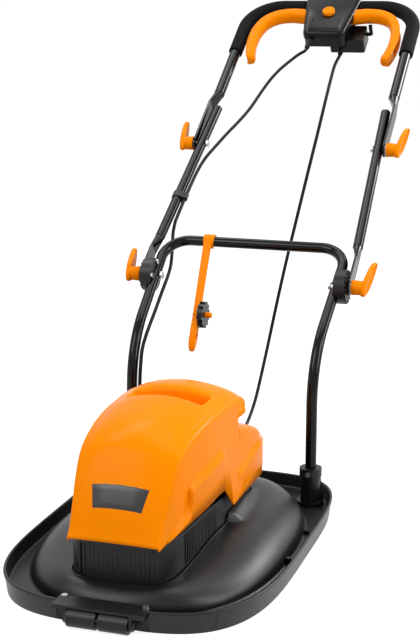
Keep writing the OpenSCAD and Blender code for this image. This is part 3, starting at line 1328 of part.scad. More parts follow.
deck_hood();
motor_cover();
badge_plate();
deck_screws();
motor_base();
stator();
field_windings();
motor_end_plate();
motor_bearings();
brush_holders();
handle_sockets();
roller_carrier();
roller_axle();
lower_handle();
ratchet_blocks();
ratchet_screws();
lower_bolts();
lower_washers();
lead_grommet();
motor_lead_lower();
mains_lead();
mains_coil();
coil_tie();
mains_plug();
armature();
commutator();
motor_shaft();
hover_impeller();
blade_spacer();
cutting_blade();
blade_bolt();
roller_left();
roller_right();
middle_tube_left();
middle_tube_right();
tube_caps();
lead_clip();
motor_lead_middle();
upper_bolts();
upper_washers();
handlebar();
grip_left();
grip_right();
switch_box();
switch_box_back();
box_screws();
trigger_switch();
inlet_block();
mains_gland();
motor_lead_gland();
motor_lead_upper();
trigger_left();
trigger_right();
lock_button();
knob_lower_left();
knob_lower_right();
knob_upper_left();
knob_upper_right();
blade_spanner();
spare_spacer();
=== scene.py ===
import json
import math

import bmesh
import bpy
from mathutils import Matrix, Vector


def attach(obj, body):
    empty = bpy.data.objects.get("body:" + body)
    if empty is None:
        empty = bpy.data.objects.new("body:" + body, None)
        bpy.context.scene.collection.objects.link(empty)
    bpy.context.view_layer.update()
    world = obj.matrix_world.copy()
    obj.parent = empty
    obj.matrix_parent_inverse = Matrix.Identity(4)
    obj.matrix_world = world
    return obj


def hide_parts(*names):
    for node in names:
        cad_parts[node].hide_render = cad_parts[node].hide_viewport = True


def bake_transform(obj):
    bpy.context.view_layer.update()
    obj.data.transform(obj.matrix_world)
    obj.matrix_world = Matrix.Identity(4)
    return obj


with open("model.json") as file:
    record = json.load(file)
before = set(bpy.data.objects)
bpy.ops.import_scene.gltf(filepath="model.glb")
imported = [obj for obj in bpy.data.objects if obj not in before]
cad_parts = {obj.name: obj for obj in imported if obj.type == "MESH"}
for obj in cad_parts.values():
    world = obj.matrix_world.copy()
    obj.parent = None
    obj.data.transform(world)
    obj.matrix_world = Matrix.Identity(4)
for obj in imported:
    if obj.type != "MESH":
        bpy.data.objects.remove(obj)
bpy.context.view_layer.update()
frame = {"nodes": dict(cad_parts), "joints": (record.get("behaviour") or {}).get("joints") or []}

# Viewpoint: a long lens at waist height, in front of the mower and to the right of its nose.
# Lengths are written in millimetres and measured from the motor's axis, which the rotor's joint gives.
MM = 0.001
joints = {joint["name"]: joint for joint in frame["joints"]}
axis_y = joints["rotor_spin"]["pos_m"][1] / MM
lens, camera_turns = 78.776, (76.744, 0, 18.217)


def deck(x, y, z):
    """A point on the mower's base: across, behind the motor's axis and above the floor."""
    return Vector((x, y + axis_y, z)) * MM


def link(piece):
    bpy.context.scene.collection.objects.link(piece)
    return piece


camera = link(bpy.data.objects.new("camera", bpy.data.cameras.new("camera")))
camera.data.lens = lens
camera.location = deck(706, -1975.4, 863.4)
camera.rotation_euler = [math.radians(turn) for turn in camera_turns]
bpy.context.scene.camera = camera

# Mains lead: about 10 m of black flex in an extruded PVC sheath, held by a gland under the switch box.
# It hangs in a slack curve behind the handle, reaches the ground and is wound there into a tied coil.
# It is drawn in two lengths, because the handle above it has two folds.
fold = Vector(joints["handle_fold"]["pos_m"])
upper_fold = Vector(joints["upper_fold"]["pos_m"])
along_handle = (upper_fold - fold).normalized()
off_handle = Vector((1, 0, 0)).cross(along_handle)


def handle(x, u, n):
    """A point on the handle: across it, up it from the lower fold and out of its plane."""
    return fold + (Vector((x, 0, 0)) + along_handle * u + off_handle * n) * MM


def linear(hex_colour):
    channels = [int(hex_colour[i:i + 2], 16) / 255 for i in (1, 3, 5)]
    return [c / 12.92 if c <= 0.04045 else ((c + 0.055) / 1.055) ** 2.4 for c in channels] + [1]


def add(tree, kind, inputs=None, **settings):
    """Adds a node with its settings, and links or sets its inputs."""
    node = tree.nodes.new("ShaderNode" + kind)
    for name, value in settings.items():
        setattr(node, name, value)
    for name, value in (inputs or {}).items():
        if isinstance(value, bpy.types.NodeSocket):
            tree.links.new(value, node.inputs[name])
        else:
            node.inputs[name].default_value = value
    return node


def blank(name):
    """A new material, its tree, its shader and the places on a piece that patterns are drawn from."""
    material = bpy.data.materials.new(name)
    material.use_nodes = True
    tree = material.node_tree
    return material, tree, tree.nodes["Principled BSDF"], add(tree, "TexCoord").outputs["Object"]


def wear(tree, shader, tones, grains, rough, bump, depth):
    """Gives a shader two tones, and a roughness range and a relief depth that follow its grains."""
    spread, colour, shade = tones
    mix = add(tree, "Mix", {0: spread, 6: linear(colour), 7: linear(shade)}, data_type="RGBA")
    dulled = add(tree, "MapRange", {0: grains, 3: rough[0], 4: rough[1]})
    relief = add(tree, "Bump", {"Height": grains, "Strength": bump, "Distance": depth * MM})
    tree.links.new(mix.outputs[2], shader.inputs["Base Color"])
    tree.links.new(dulled.outputs[0], shader.inputs["Roughness"])
    tree.links.new(relief.outputs["Normal"], shader.inputs["Normal"])


def moulded(name, colour, shade, grain, roughness, bump, patch=60, sheen=0.5):
    """A moulded or coated surface: two close tones in soft patches, and a fine grain of that size in mm.

    Sheen is the share of light that it mirrors, where 0.5 is a clean surface of IOR 1.5.
    """
    material, tree, shader, place = blank(name)
    patches = add(tree, "TexNoise", {"Vector": place, "Scale": 1 / (patch * MM), "Detail": 3.0})
    grains = add(tree, "TexNoise", {"Vector": place, "Scale": 1 / (grain * MM), "Detail": 2.0})
    rough = 0.85 * roughness, 1.15 * roughness
    tones = patches.outputs["Fac"], colour, shade
    wear(tree, shader, tones, grains.outputs["Fac"], rough, bump, grain / 4)
    shader.inputs["Specular IOR Level"].default_value = sheen
    return material


def smooth(points, steps):
    """A curve through the points, with that many steps between each pair."""
    last = len(points) - 1
    curve = []
    for i in range(last):
        a, b, c, d = points[max(i - 1, 0)], points[i], points[i + 1], points[min(i + 2, last)]
        for k in range(steps):
            t = k / steps
            bent = 2 * a - 5 * b + 4 * c - d
            curve.append((2 * b + (c - a) * t + bent * t * t + (3 * b - a - 3 * c + d) * t ** 3) / 2)
    return curve + [points[last]]


def skin(name, rings, around=True, caps=True, sharp=40):
    """A mesh skinned over rings of points, with edges kept crisp above that angle."""
    count = len(rings[0])
    faces = []
    for r in range(len(rings) - 1):
        for c in range(count if around else count - 1):
            a, b = r * count + c, r * count + (c + 1) % count
            faces.append((a, b, b + count, a + count))
    if caps:
        faces += [range(count), range((len(rings) - 1) * count, len(rings) * count)]
    mesh = bpy.data.meshes.new(name)
    mesh.from_pydata([point for ring in rings for point in ring], [], [tuple(face) for face in faces])
    whole = bmesh.new()
    whole.from_mesh(mesh)
    bmesh.ops.remove_doubles(whole, verts=whole.verts, dist=0.001 * MM)
    bmesh.ops.recalc_face_normals(whole, faces=whole.faces)
    whole.to_mesh(mesh)
    whole.free()
    mesh.shade_smooth()
    mesh.set_sharp_from_angle(angle=math.radians(sharp))
    return link(bpy.data.objects.new(name, mesh))


def circle(sides):
    """Equal turns round a circle."""
    return [2 * math.pi * k / sides for k in range(sides)]


def round_rings(points, radii, sides):
    """Round sections across a path, turned so that they don't twist."""
    rings, normal = [], None
    last = len(points) - 1
    for i, point in enumerate(points):
        way = (points[min(i + 1, last)] - points[max(i - 1, 0)]).normalized()
        normal = way.orthogonal() if normal is None else normal - way * normal.dot(way)
        normal.normalize()
        side = way.cross(normal)
        radius = radii[i] if isinstance(radii, list) else radii
        rings.append([point + (normal * math.cos(t) + side * math.sin(t)) * radius for t in circle(sides)])
    return rings


def dress(piece, material, body, *nodes):
    """The piece takes a material, rides on a body and stands for the solids that it is made over."""
    piece.data.materials.clear()
    piece.data.materials.append(material)
    if body:
        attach(piece, body)
    if nodes:
        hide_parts(*nodes)
    return piece


# PVC sheath, extruded: a smooth satin black with the faint ripple of the die.
pvc_sheath = moulded("pvc_sheath", "#070708", "#0c0c0d", grain=3, roughness=0.34, bump=0.15, sheen=0.14)
cord_d, cord_sides, coil_sides, path_steps = 6.8, 14, 12, 4
gland_l, gland_shares = 26, (0.02, 0.5, 1, 1.3)
mains_start = handle(32, 714, -33.3)
mains_route = [
    (28, 915, 711), (27.5, 885, 685), (27, 855, 655), (25, 828, 620), (21, 805, 580), (15, 785, 536),
    (8, 768, 490), (0, 752, 440), (-8.5, 738, 390), (-17, 724, 340), (-25, 709, 288), (-32, 694, 238),
    (-38, 678, 190), (-43, 659, 144), (-46, 634, 103), (-47, 606, 71), (-47.5, 574, 48), (-47.5, 540, 33),
    (-47.5, 507, 27.4), (-47.5, 476, 27.4)]
split = 7
coil_d, coil_turns, coil_layers, coil_pitch, coil_steps = 120, 6, 4, 7.5, 32
climb_lead, climb_turns = 0.25, 0.5
coil_x, coil_y, coil_z = mains_route[-1][0] - coil_d / 2 - coil_turns * coil_pitch / 2, 455, 4.9
plug_tail, plug_z = 70, 13


def coil_point(turn):
    """The coil winds in and out at a steady rate and climbs a layer where the winding turns back."""
    radius = coil_d / 2 + coil_pitch * (abs(turn % (2 * coil_turns) - coil_turns) - coil_turns / 2)
    layer = min(int((turn + climb_lead) // coil_turns), coil_layers - 1)
    climb = min(1, (turn + climb_lead - layer * coil_turns) / climb_turns)
    height = coil_z + coil_pitch * (layer - 1 + climb * climb * (3 - 2 * climb) if layer else 0)
    angle = 2 * math.pi * turn
    return deck(coil_x + radius * math.cos(angle), coil_y + radius * math.sin(angle), height)


gland_points = [mains_start - along_handle * gland_l * share * MM for share in gland_shares]
top_points = gland_points + [deck(*point) for point in mains_route[:split + 1]]
low_points = [deck(*point) for point in mains_route[split:]]
coil_points = [coil_point(k / coil_steps) for k in range(coil_layers * coil_turns * coil_steps, -1, -1)]
tail_x = coil_points[-1].x / MM
tail_points = [deck(tail_x, coil_y - plug_tail / 2, (coil_z + plug_z) / 2),
               deck(tail_x, coil_y - plug_tail + cord_d, plug_z), deck(tail_x, coil_y - plug_tail, plug_z)]
top_path = smooth(top_points, path_steps)
low_path = smooth(low_points + coil_points[:1], path_steps)[:-1] + coil_points[:-1]
low_path += smooth(coil_points[-1:] + tail_points, path_steps)
lead_top = skin("mains_lead_top", round_rings(top_path, cord_d / 2 * MM, cord_sides))
lead_low = skin("mains_lead_and_coil", round_rings(low_path, cord_d / 2 * MM, coil_sides))
dress(lead_top, pvc_sheath, None)
dress(lead_low, pvc_sheath, None, "mains_lead", "mains_coil")
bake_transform(lead_top)
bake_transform(lead_low)

# Motor lead: a thinner flex of the same sheath, from the switch box down the left tubes to the motor cover.
# A clip holds it on the middle tube, and it bows out past each fold so that the handle can move.
lead_d = 6.5
upper_route = [(-30, 689.4, 0), (-30, 676, 0), (-30, 663, 0), (-33, 655, -1), (-44, 646, -3), (-60, 626, -6),
               (-76, 600, -8), (-89, 563, -8), (-99, 520, -8), (-108, 478, -8), (-120, 436, -6),
               (-134, 394, -3), (-147, 350, 0), (-156, 318, 2), (-161, 294.8, 2)]
middle_route = [(-161, 294.8, 2), (-164.5, 268, 1), (-166.5, 238, 0), (-168, 205, 0), (-169.5, 172, -1),
                (-171, 141.2, -3)]
lower_route = [(-171, 141.2, -3), (-170, 118, -9), (-166, 94, -16), (-160, 68, -18), (-154, 40, -17),
               (-151, 8, -15), (-150, -30, -13), (-149, -70, -12)]
foot_route = [(-148, 248, 262), (-147, 229, 224), (-146, 221, 184), (-145, 219, 148), (-141, 218, 118),
              (-128, 215, 101), (-108, 208, 98), (-88, 196, 102), (-70, 182.5, 104), (-70, 176, 104),
              (-70, 170, 104)]
motor_leads = {}
for name, points in (("upper", [handle(*point) for point in upper_route]),
                     ("middle", [handle(*point) for point in middle_route]),
                     ("lower", [handle(*point) for point in lower_route] + [deck(*p) for p in foot_route])):
    rings = round_rings(smooth(points, path_steps), lead_d / 2 * MM, cord_sides)
    motor_leads[name] = skin("motor_lead_on_" + name + "_handle", rings)
dress(motor_leads["middle"], pvc_sheath, "middle_handle", "motor_lead_middle")
dress(motor_leads["upper"], pvc_sheath, None, "motor_lead_upper")
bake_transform(motor_leads["upper"])
dress(motor_leads["lower"], pvc_sheath, None, "motor_lead_lower")
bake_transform(motor_leads["lower"])

# Stage: a white studio floor that runs on as a white surround, lit by four softboxes and two strips.
# The floor is white to the eye but keeps a faint shadow, and it throws little light of its own.
scene = bpy.context.scene
scene.view_settings.view_transform = "Standard"
world = bpy.data.worlds.new("studio")
world.use_nodes = True
scene.world = world
white = (1, 1, 1, 1)
surround_thrown, surround_seen = 0.5, 1.0
floor_size, floor_z, floor_grey, floor_glow = 40, -0.4, 0.4, 0.82


def seen_directly(tree):
    """1 where the eye, a reflection or a see-through surface meets the backdrop, 0 for light it throws."""
    rays = add(tree, "LightPath").outputs
    either = add(tree, "Math", {0: rays["Is Camera Ray"], 1: rays["Is Glossy Ray"]}, operation="MAXIMUM")
    seen = add(tree, "Math", {0: either.outputs[0], 1: rays["Is Transmission Ray"]}, operation="MAXIMUM")
    return seen.outputs[0]


tree = world.node_tree
surround = tree.nodes["Background"]
surround.inputs["Color"].default_value = white
strength = add(tree, "MapRange", {0: seen_directly(tree), 3: surround_thrown, 4: surround_seen})
tree.links.new(strength.outputs[0], surround.inputs["Strength"])

floor = skin("studio_floor", [[Vector((x, y, floor_z * MM)) for x in (-floor_size, floor_size)]
                              for y in (-floor_size, floor_size)], around=False, caps=False)
# Matt studio paint: an even white with no shine, so that only the shadow shows on it.
studio_white = bpy.data.materials.new("studio_white")
studio_white.use_nodes = True
tree = studio_white.node_tree
paint = tree.nodes["Principled BSDF"]
paint.inputs["Base Color"].default_value = (floor_grey, floor_grey, floor_grey, 1)
paint.inputs["Specular IOR Level"].default_value = 0
paint.inputs["Emission Color"].default_value = white
glow = add(tree, "MapRange", {0: seen_directly(tree), 3: 0.0, 4: floor_glow})
tree.links.new(glow.outputs[0], paint.inputs["Emission Strength"])
floor.data.materials.append(studio_white)


def soft_light(name, place, aim, width, length, power, along=Vector((0, 0, 1))):
    """An area lamp that faces its aim, with its length turned along a direction."""
    lamp = link(bpy.data.objects.new(name, bpy.data.lights.new(name, "AREA")))
    lamp.data.shape = "RECTANGLE"
    lamp.data.size, lamp.data.size_y, lamp.data.energy = width, length, power
    back = (Vector(place) - Vector(aim)).normalized()
    side = along.cross(back).normalized()
    lamp.location = place
    lamp.rotation_euler = Matrix((side, back.cross(side), back)).transposed().to_euler()
    return lamp


soft_light("key_softbox", (-1.6, -2.6, 2.8), (0, 0, 0.3), 1.8, 1.8, 56)
soft_light("right_softbox", (2.8, -0.5, 1.5), (0, 0.0, 0.15), 0.9, 1.6, 40)
soft_light("rear_softbox", (1.4, 1.9, 1.7), (0.1, -0.3, 0.05), 0.8, 0.9, 28)
soft_light("top_softbox", (0.3, 0.4, 3.4), (0, 0.1, 0.2), 2.2, 1.6, 32)
for name, place, power in (("left_strip", (-1.2, 0.5, 2.7), 24), ("right_strip", (2.1, 1.3, 1.5), 36)):
    strip = soft_light(name, place, (0, 0.3, 0.55), 0.4, 2.2, power, along_handle)
    strip.visible_diffuse = False

# Hood: one black polypropylene moulding with a rolled rim, a trough, a dome and the motor's tower.
# The dome ends in a raised lip round the tower, and the lip steps up behind the cover's tooth.
# A notch in the front of the rim takes the roller's carrier.
deck_w, deck_l, rim_mid_y, rim_h, rim_draft = 426, 612, -8, 33, 4
dome_w, dome_l, dome_mid_y, trough_h, dome_h, nose_drop = 384, 556, -14, 10, 62, 18
tower_w, tower_l, tower_mid_y, tower_h, tower_taper_share = 184, 404, -54, 108, 0.12
front_power, rear_power, dome_power, tower_power = 3.5, 4.8, 2.5, 7
hood_wall, intake_r, lip_gap, lip_rise = 3, 50, 3.5, 12
lip_front, lip_back, lip_foot = (-34, -26), (50, 125), (0.84, 1)
hood_turns, dome_steps = circle(224), 26
notch_w, notch_over = 140, 4
# Polypropylene from a spark-eroded mould: a satin that spreads highlights wide; the grit is drawn coarse.
polypropylene = moulded("polypropylene_moulded", "#09090a", "#0e0e0f", grain=0.9, roughness=0.38, bump=0.12,
                        sheen=0.3)


def ease(value, start, end):
    t = max(0, min(1, (value - start) / (end - start)))
    return t * t * (3 - 2 * t)


def outline(turn, half_w, half_l, power, mid_y):
    """A place on a rounded oblong; the power squares its corners."""
    across, along = abs(math.sin(turn)) / half_w, abs(math.cos(turn)) / half_l
    reach = (across ** power + along ** power) ** (-1 / power)
    return reach * math.sin(turn), mid_y - reach * math.cos(turn)


def rim_ring(inset, z):
    ring = []
    for t in hood_turns:
        power = front_power if math.cos(t) > 0 else rear_power
        ring.append(deck(*outline(t, deck_w / 2 - inset, deck_l / 2 - inset, power, rim_mid_y), z))
    return ring


def tower_place(turn, inset):
    x, y = outline(turn, tower_w / 2 - inset, tower_l / 2 - inset, tower_power, tower_mid_y)
    return x * (1 - tower_taper_share * max(0, math.cos(turn))), y


def crest(turn, share=1):
    """Height of the dome's crest; its lip steps up behind the cover's tooth and dies away down the dome."""
    lip_y = tower_place(turn, 0)[1]
    lip = lip_rise * ease(lip_y, *lip_front) * (1 - ease(lip_y, *lip_back)) * ease(share, *lip_foot)
    return dome_h - nose_drop * max(0, math.cos(turn)) ** 2 + lip


def tower_ring(inset, z=None, rise=0):
    return [deck(*tower_place(t, inset), crest(t) + rise if z is None else z) for t in hood_turns]


def dome_ring(share, inset=0):
    """A ring round the dome, a share of the way from its foot in the trough to its crest at the tower."""
    ring = []
    for t in hood_turns:
        foot = outline(t, dome_w / 2 - inset, dome_l / 2 - inset, dome_power, dome_mid_y)
        top = tower_place(t, inset - lip_gap)
        out, up = math.cos(math.pi / 2 * share), math.sin(math.pi / 2 * share)
        place = [b + (a - b) * out for a, b in zip(foot, top)]
        ring.append(deck(*place, trough_h + (crest(t, share) - trough_h) * up - inset))
    return ring


def intake_ring(z):
    return [deck(intake_r * math.sin(t), -intake_r * math.cos(t), z) for t in hood_turns]


rim_profile = [(rim_draft + 2.4, 0), (rim_draft + 0.6, 0), (rim_draft - 0.1, 0.8), (0.7, rim_h - 5),
               (-0.4, rim_h - 4.2), (-0.7, rim_h - 2.6), (-0.5, rim_h - 1), (0.4, rim_h - 0.1), (2.2, rim_h),
               (3.1, rim_h - 0.7), (3.6, rim_h - 2), (5.6, trough_h + 3.5), (6.2, trough_h + 1.4),
               (7.8, trough_h + 0.3), (10, trough_h)]
fillet_profile = [(4, trough_h), (1.2, trough_h + 1)]
lip_profile = [(0, 0.5), (1, 1), (2, 0.2), (2.4, -3), (lip_gap, -3.5)]
hood_rings = [rim_ring(*point) for point in rim_profile]
for spread, z in fillet_profile:
    hood_rings.append([Vector((point.x, point.y, z * MM)) for point in dome_ring(0, -spread)])
hood_rings += [dome_ring(0.05 + 0.95 * k / dome_steps) for k in range(dome_steps + 1)]
hood_rings += [tower_ring(inset - lip_gap, rise=rise) for inset, rise in lip_profile]
hood_rings += [tower_ring(0, tower_h), tower_ring(hood_wall, tower_h), tower_ring(hood_wall, dome_h),
               intake_ring(dome_h), intake_ring(dome_h - hood_wall),
               tower_ring(2 * hood_wall, dome_h - hood_wall - nose_drop)]
hood_rings += [dome_ring(1 - k / dome_steps, hood_wall) for k in range(dome_steps + 1)]
hood_rings += [rim_ring(hood_wall + 3, trough_h - hood_wall), rim_ring(*rim_profile[0])]
hood = skin("hood", hood_rings, caps=False, sharp=50)
notch = link(bpy.data.objects.new("notch", bpy.data.meshes.new("notch")))
cutter = bmesh.new()
bmesh.ops.create_cube(cutter, size=1)
rim_front_y = rim_mid_y - deck_l / 2
low = deck(-notch_w / 2, rim_front_y - notch_over, -notch_over / 2)
high = deck(notch_w / 2, rim_front_y + 2 * hood_wall, rim_h + notch_over)
for vert in cutter.verts:
    vert.co = [low[i] if vert.co[i] < 0 else high[i] for i in range(3)]
cutter.to_mesh(notch.data)
cutter.free()


def carve(piece, tool):
    """Cuts the tool out of the piece for good and deletes it."""
    cut = piece.modifiers.new("cut", "BOOLEAN")
    cut.operation, cut.solver, cut.object = "DIFFERENCE", "EXACT", tool
    shaped = bpy.data.meshes.new_from_object(piece.evaluated_get(bpy.context.evaluated_depsgraph_get()))
    piece.modifiers.clear()
    piece.data = shaped
    bpy.data.objects.remove(tool)


carve(hood, notch)
dress(hood, polypropylene, "deck", "deck_hood")

# Intake slats and trough bosses: upright ribs round the tower that guard its air slots, and two studs.
# They are moulded in one with the hood, in the same polypropylene.
slat_pitch, slat_w, slat_out = 7, 2.2, 0.9
slat_low, slat_high, front_slats, side_slats, side_start = 4, 104, 8, 18, 64
boss_r, boss_sides, boss_places = 4.5, 20, ((195, -39, 20), (191, 88, 16))


def upright(x, y, half_x, half_y, low, high):
    """An upright rib of four sides, drawn in a little at its top."""
    corners = [(-half_x, -half_y), (half_x, -half_y), (half_x, half_y), (-half_x, half_y)]
    levels = ((1, low), (1, high - 1), (0.7, high))
    return skin("rib", [[deck(x + a * share, y + b * share, z) for a, b in corners] for share, z in levels])


def join(first, *others):
    """Joins pieces into the first one's mesh and welds the points that they share."""
    whole = bmesh.new()
    for piece in (first, *others):
        whole.from_mesh(piece.data)
    bmesh.ops.remove_doubles(whole, verts=whole.verts, dist=0.01 * MM)
    whole.to_mesh(first.data)
    whole.free()
    for piece in others:
        bpy.data.objects.remove(piece)


ribs = []
front_y = tower_mid_y - tower_l / 2
for k in range(-front_slats, front_slats + 1):
    ribs.append(upright(k * slat_pitch, front_y + 0.4, slat_w / 2, slat_out,
                        dome_h - nose_drop + slat_low, slat_high - 8))
for k in range(side_slats):
    y = front_y + side_start + k * slat_pitch
    ahead = tower_mid_y - y
    x = tower_w / 2 * (1 - tower_taper_share * max(0, ahead / math.hypot(ahead, tower_w / 2)))
    for side in (-1, 1):
        ribs.append(upright(side * (x - 0.3), y, slat_out, slat_w / 2,
                            dome_h - nose_drop / 2 + slat_low, slat_high - 2))
for x, y, z in boss_places:
    boss_profile = ((boss_r, trough_h - 1), (boss_r, z - 1), (boss_r - 1, z), (0.01, z))
    ribs.append(skin("boss", [[deck(x + r * math.cos(t), y + r * math.sin(t), h) for t in circle(boss_sides)]
                              for r, h in boss_profile], caps=False))
join(*ribs)
slats = ribs[0]
slats.name = "intake_slats"
dress(slats, polypropylene, "deck")

# Motor cover: a thin orange ABS shell, crowned on top, with a ledge on each side and a tooth in its edge.
# Its rear top is a carry handle: a hand slot in front, a round-ended tail, and a low hump under the tail.
# It is moulded in one piece and seats over the hood's tower.
cover_nose_y, cover_l, cover_w, cover_wall = -268, 438, 206, 2.4
nose_z, crease_z, skirt_z, crown_rise, crease_r = 103, 245, 90, 21, 9
tooth_y, tooth_z, drop_y, drop_l, ledge_break_y = -84, 125, -59.3, 31.3, -28
cover_y_shares = [0, 0.014, 0.035, 0.064, 0.1, 0.15, 0.19, 0.23, 0.29, 0.35, 0.45, 0.57, 0.66, 0.72, 0.75,
                  0.79]
crease_shares = [0.02, 0.1, 0.24, 0.41, 0.59, 0.785, 0.86, 0.905, 0.947, 0.972, 1, 1, 0.99, 0.97, 0.945, 0.9]
crease_w_shares = [0.67, 0.67, 0.675, 0.69, 0.715, 0.74, 0.76, 0.775, 0.8, 0.825, 0.845, 0.87, 0.885, 0.895,
                   0.9, 0.9]
skirt_w_shares = [0.67, 0.675, 0.69, 0.71, 0.75, 0.79, 0.82, 0.85, 0.9, 0.94, 0.985, 1, 1, 1, 1, 1]
crown_shares = [0.05, 0.2, 0.3, 0.42, 0.55, 0.7, 0.78, 0.83, 0.88, 0.92, 0.97, 1, 1, 0.97, 0.92, 0.88]
ledge_rises = [None, -34, -14, -6.5, -5, -3.5, 3.5, 5, 6.5, 20]
ledge_outs = [0, 0.5, 0.85, 0.97, 1, 0.92, 0.08, 0, 0, 0]
edge_steps = 6
# ABS from a polished mould: a deep gloss with soft reflections and the faintest mottle.
orange_abs = moulded("orange_abs_polished", "#ff8f00", "#ff8700", grain=9, roughness=0.24, bump=0.05,
                     patch=140, sheen=0.03)


def curve(places, values, at):
    """A smooth value at a place, from values listed at places, with no overshoot."""
    slopes = []
    for i in range(len(places) - 1):
        slopes.append((values[i + 1] - values[i]) / (places[i + 1] - places[i]))
    inner = [0 if a * b <= 0 else 2 * a * b / (a + b) for a, b in zip(slopes, slopes[1:])]
    ends = [slopes[0], *inner, slopes[-1]]
    at = max(places[0], min(places[-1], at))
    i = max(k for k in range(len(places) - 1) if places[k] <= at)
    step = places[i + 1] - places[i]
    t = (at - places[i]) / step
    return (values[i] * (1 + 2 * t) * (1 - t) ** 2 + values[i + 1] * t * t * (3 - 2 * t)
            + step * (ends[i] * t * (1 - t) ** 2 - ends[i + 1] * t * t * (1 - t)))


def side_rows(foot, crease, edge_r, ledge, out):
    """One side from its foot to the crease: a lower face, a sloping ledge, an upper face, a round edge."""
    (foot_w, foot_z), (wide, top_z) = foot, crease
    span = max(1, top_z - edge_r - foot_z)
    rows = []
    for rise, out_share in zip(ledge_rises, ledge_outs):
        z = foot_z if rise is None else max(foot_z, min(top_z - edge_r, ledge + rise))
        share = (z - foot_z) / span
        rows.append((foot_w + (wide - foot_w) * share + out * out_share * min(1, 8 * share), z))
    for k in range(edge_steps):
        turn = math.pi / 2 * k / edge_steps
        rows.append((wide - edge_r * (1 - math.cos(turn)), top_z - edge_r + edge_r * math.sin(turn)))
    return rows


def cover_line(shares, y):
    return curve(cover_y_shares, shares, (y - cover_nose_y) / cover_l)


def ledge_z(y):
    """Height of the side's ledge: one runs back from the nose, and a lower one runs along the hump."""
    if y < ledge_break_y:
        return curve([-268, -225, -196, -186, -176, -110, -44], [96, 118, 129, 138, 166, 178, 188], y)
    return curve([ledge_break_y, 15, 137, 170], [126, 132, 146, 140], y)


def ledge_out(y):
    return 7 * (1 - ease(y, -68, -44)) + 4 * ease(y, -6, 18)


slot_front, slot_back, slot_half, slot_r, bar_round = -62, -10, 64, 11, 13
pocket_z, pocket_slope, tail_z, tail_y, tail_end = 203, 0.25, 212, 24, 71
tail_round_y, tail_draw_in, tail_steps = 58, 5, 8


def pocket(x, y):
    """How far the hand slot has sunk at a place: 0 on the cover's top, 1 at the slot's floor."""
    mid, half = (slot_front + slot_back) / 2, (slot_back - slot_front) / 2
    out_x, out_y = abs(x) - slot_half + slot_r, abs(y - mid) - half + slot_r
    reach = math.hypot(max(out_x, 0), max(out_y, 0)) + min(max(out_x, out_y), 0) - slot_r
    return ease(-reach, -0.6, 1.6) * max(0, 1 - (abs(x) / slot_half) ** 3)


def bar_drop(x, y):
    """How far the carry bar's front edge is rounded off behind the slot."""
    share = max(0, min(1, (slot_back + bar_round - y) / bar_round)) if y > slot_back - 2 else 0
    return bar_round * (1 - math.sqrt(1 - share * share)) * (1 - ease(abs(x), slot_half - 14, slot_half + 2))


def steps_between(start, end, step):
    count = max(1, round((end - start) / step))
    return [start + (end - start) * k / count for k in range(count)]


# Columns across half the cover's top and places along it, closer together where the slot's edges run.
last_column = 66
top_columns = steps_between(0, 44, 8) + steps_between(44, last_column, 1.0) + [last_column]
cover_places = [-84.5, tooth_y, -72, -60, -59.5, tail_y]
for start, end, step in ((cover_nose_y, -250, 2), (-250, -198, 5), (-198, -174, 2), (-174, -86, 7),
                         (-66.5, -46, 0.8), (-46, -24, 3.5), (-24, 6, 1.0), (6, tail_y, 4.5)):
    cover_places += steps_between(start, end, step)
cover_places.sort()


def foot_height(y):
    """The cover's lower edge: it rises from the nose, drops behind the tooth and then runs level."""
    if y < tooth_y:
        return nose_z + (tooth_z - nose_z) * (y - cover_nose_y) / (tooth_y - cover_nose_y)
    return tooth_z + (skirt_z - tooth_z) * max(0, min(1, (y - drop_y) / drop_l))


def crease_at(y):
    return nose_z + (crease_z - nose_z) * cover_line(crease_shares, y)


def side_x(y, z):
    """Half the cover's width on its plain side face, at a place and height."""
    wide, foot_w = (cover_w / 2 * cover_line(shares, y) for shares in (crease_w_shares, skirt_w_shares))
    return foot_w + (wide - foot_w) * min(1, (z - skirt_z) / max(1, crease_at(y) - crease_r - skirt_z))


def both_sides(right, y):
    """A cross-section from its right half, which ends on the middle line."""
    return [deck(x, y, z) for x, z in right] + [deck(-x, y, z) for x, z in reversed(right[:-1])]


def cover_ring(y, tail=False, bull=0):
    """One cross-section of the cover or its tail, from the right lower edge over the top to the left one."""
    crease, wide = crease_at(y), cover_w / 2 * cover_line(crease_w_shares, y)
    foot_z = tail_z if tail else min(foot_height(y), crease - 1.5)
    edge_r = min(crease_r, (crease - foot_z) / 3)
    rise = crown_rise * cover_line(crown_shares, y)
    out = 0 if tail else ledge_out(y)
    right = side_rows((side_x(y, foot_z), foot_z), (wide, crease), edge_r, ledge_z(y), out)
    flat_w = wide - edge_r
    for column in reversed(top_columns):
        share = column / last_column
        x = flat_w * column / last_column
        top = crease + rise * (1 - (x / wide) ** 2) - rise * (1 - (flat_w / wide) ** 2) * share ** 6
        top -= bar_drop(x, y)
        right.append((x, top + (pocket_z - pocket_slope * (y - slot_back) - top) * pocket(x, y)))
    squeeze, push = math.cos(bull), math.sin(bull)
    right = [(x - tail_draw_in * (1 - squeeze), tail_z + (z - tail_z) * squeeze if bull else z)
             for x, z in right]
    return both_sides(right, y + (tail_end - tail_round_y) * push)


cover = skin("motor_cover_shell", [cover_ring(y) for y in cover_places], around=False, caps=False, sharp=32)
tail_rings = [cover_ring(y, True) for y in steps_between(tail_y, tail_round_y, 5)]
tail_rings += [cover_ring(tail_round_y, True, math.pi / 2 * k / tail_steps) for k in range(tail_steps + 1)]
tail = skin("tail", tail_rings, around=False, caps=False, sharp=32)
tail_floor = skin("tail_floor", [[ring[0], ring[-1]] for ring in tail_rings], around=False, caps=False)
bulkhead_rows = [[deck(side * side_x(tail_y, z), tail_y, z) for side in (-1, 1)] for z in (186, 199, tail_z)]
bulkhead = skin("tail_bulkhead", bulkhead_rows, around=False, caps=False)

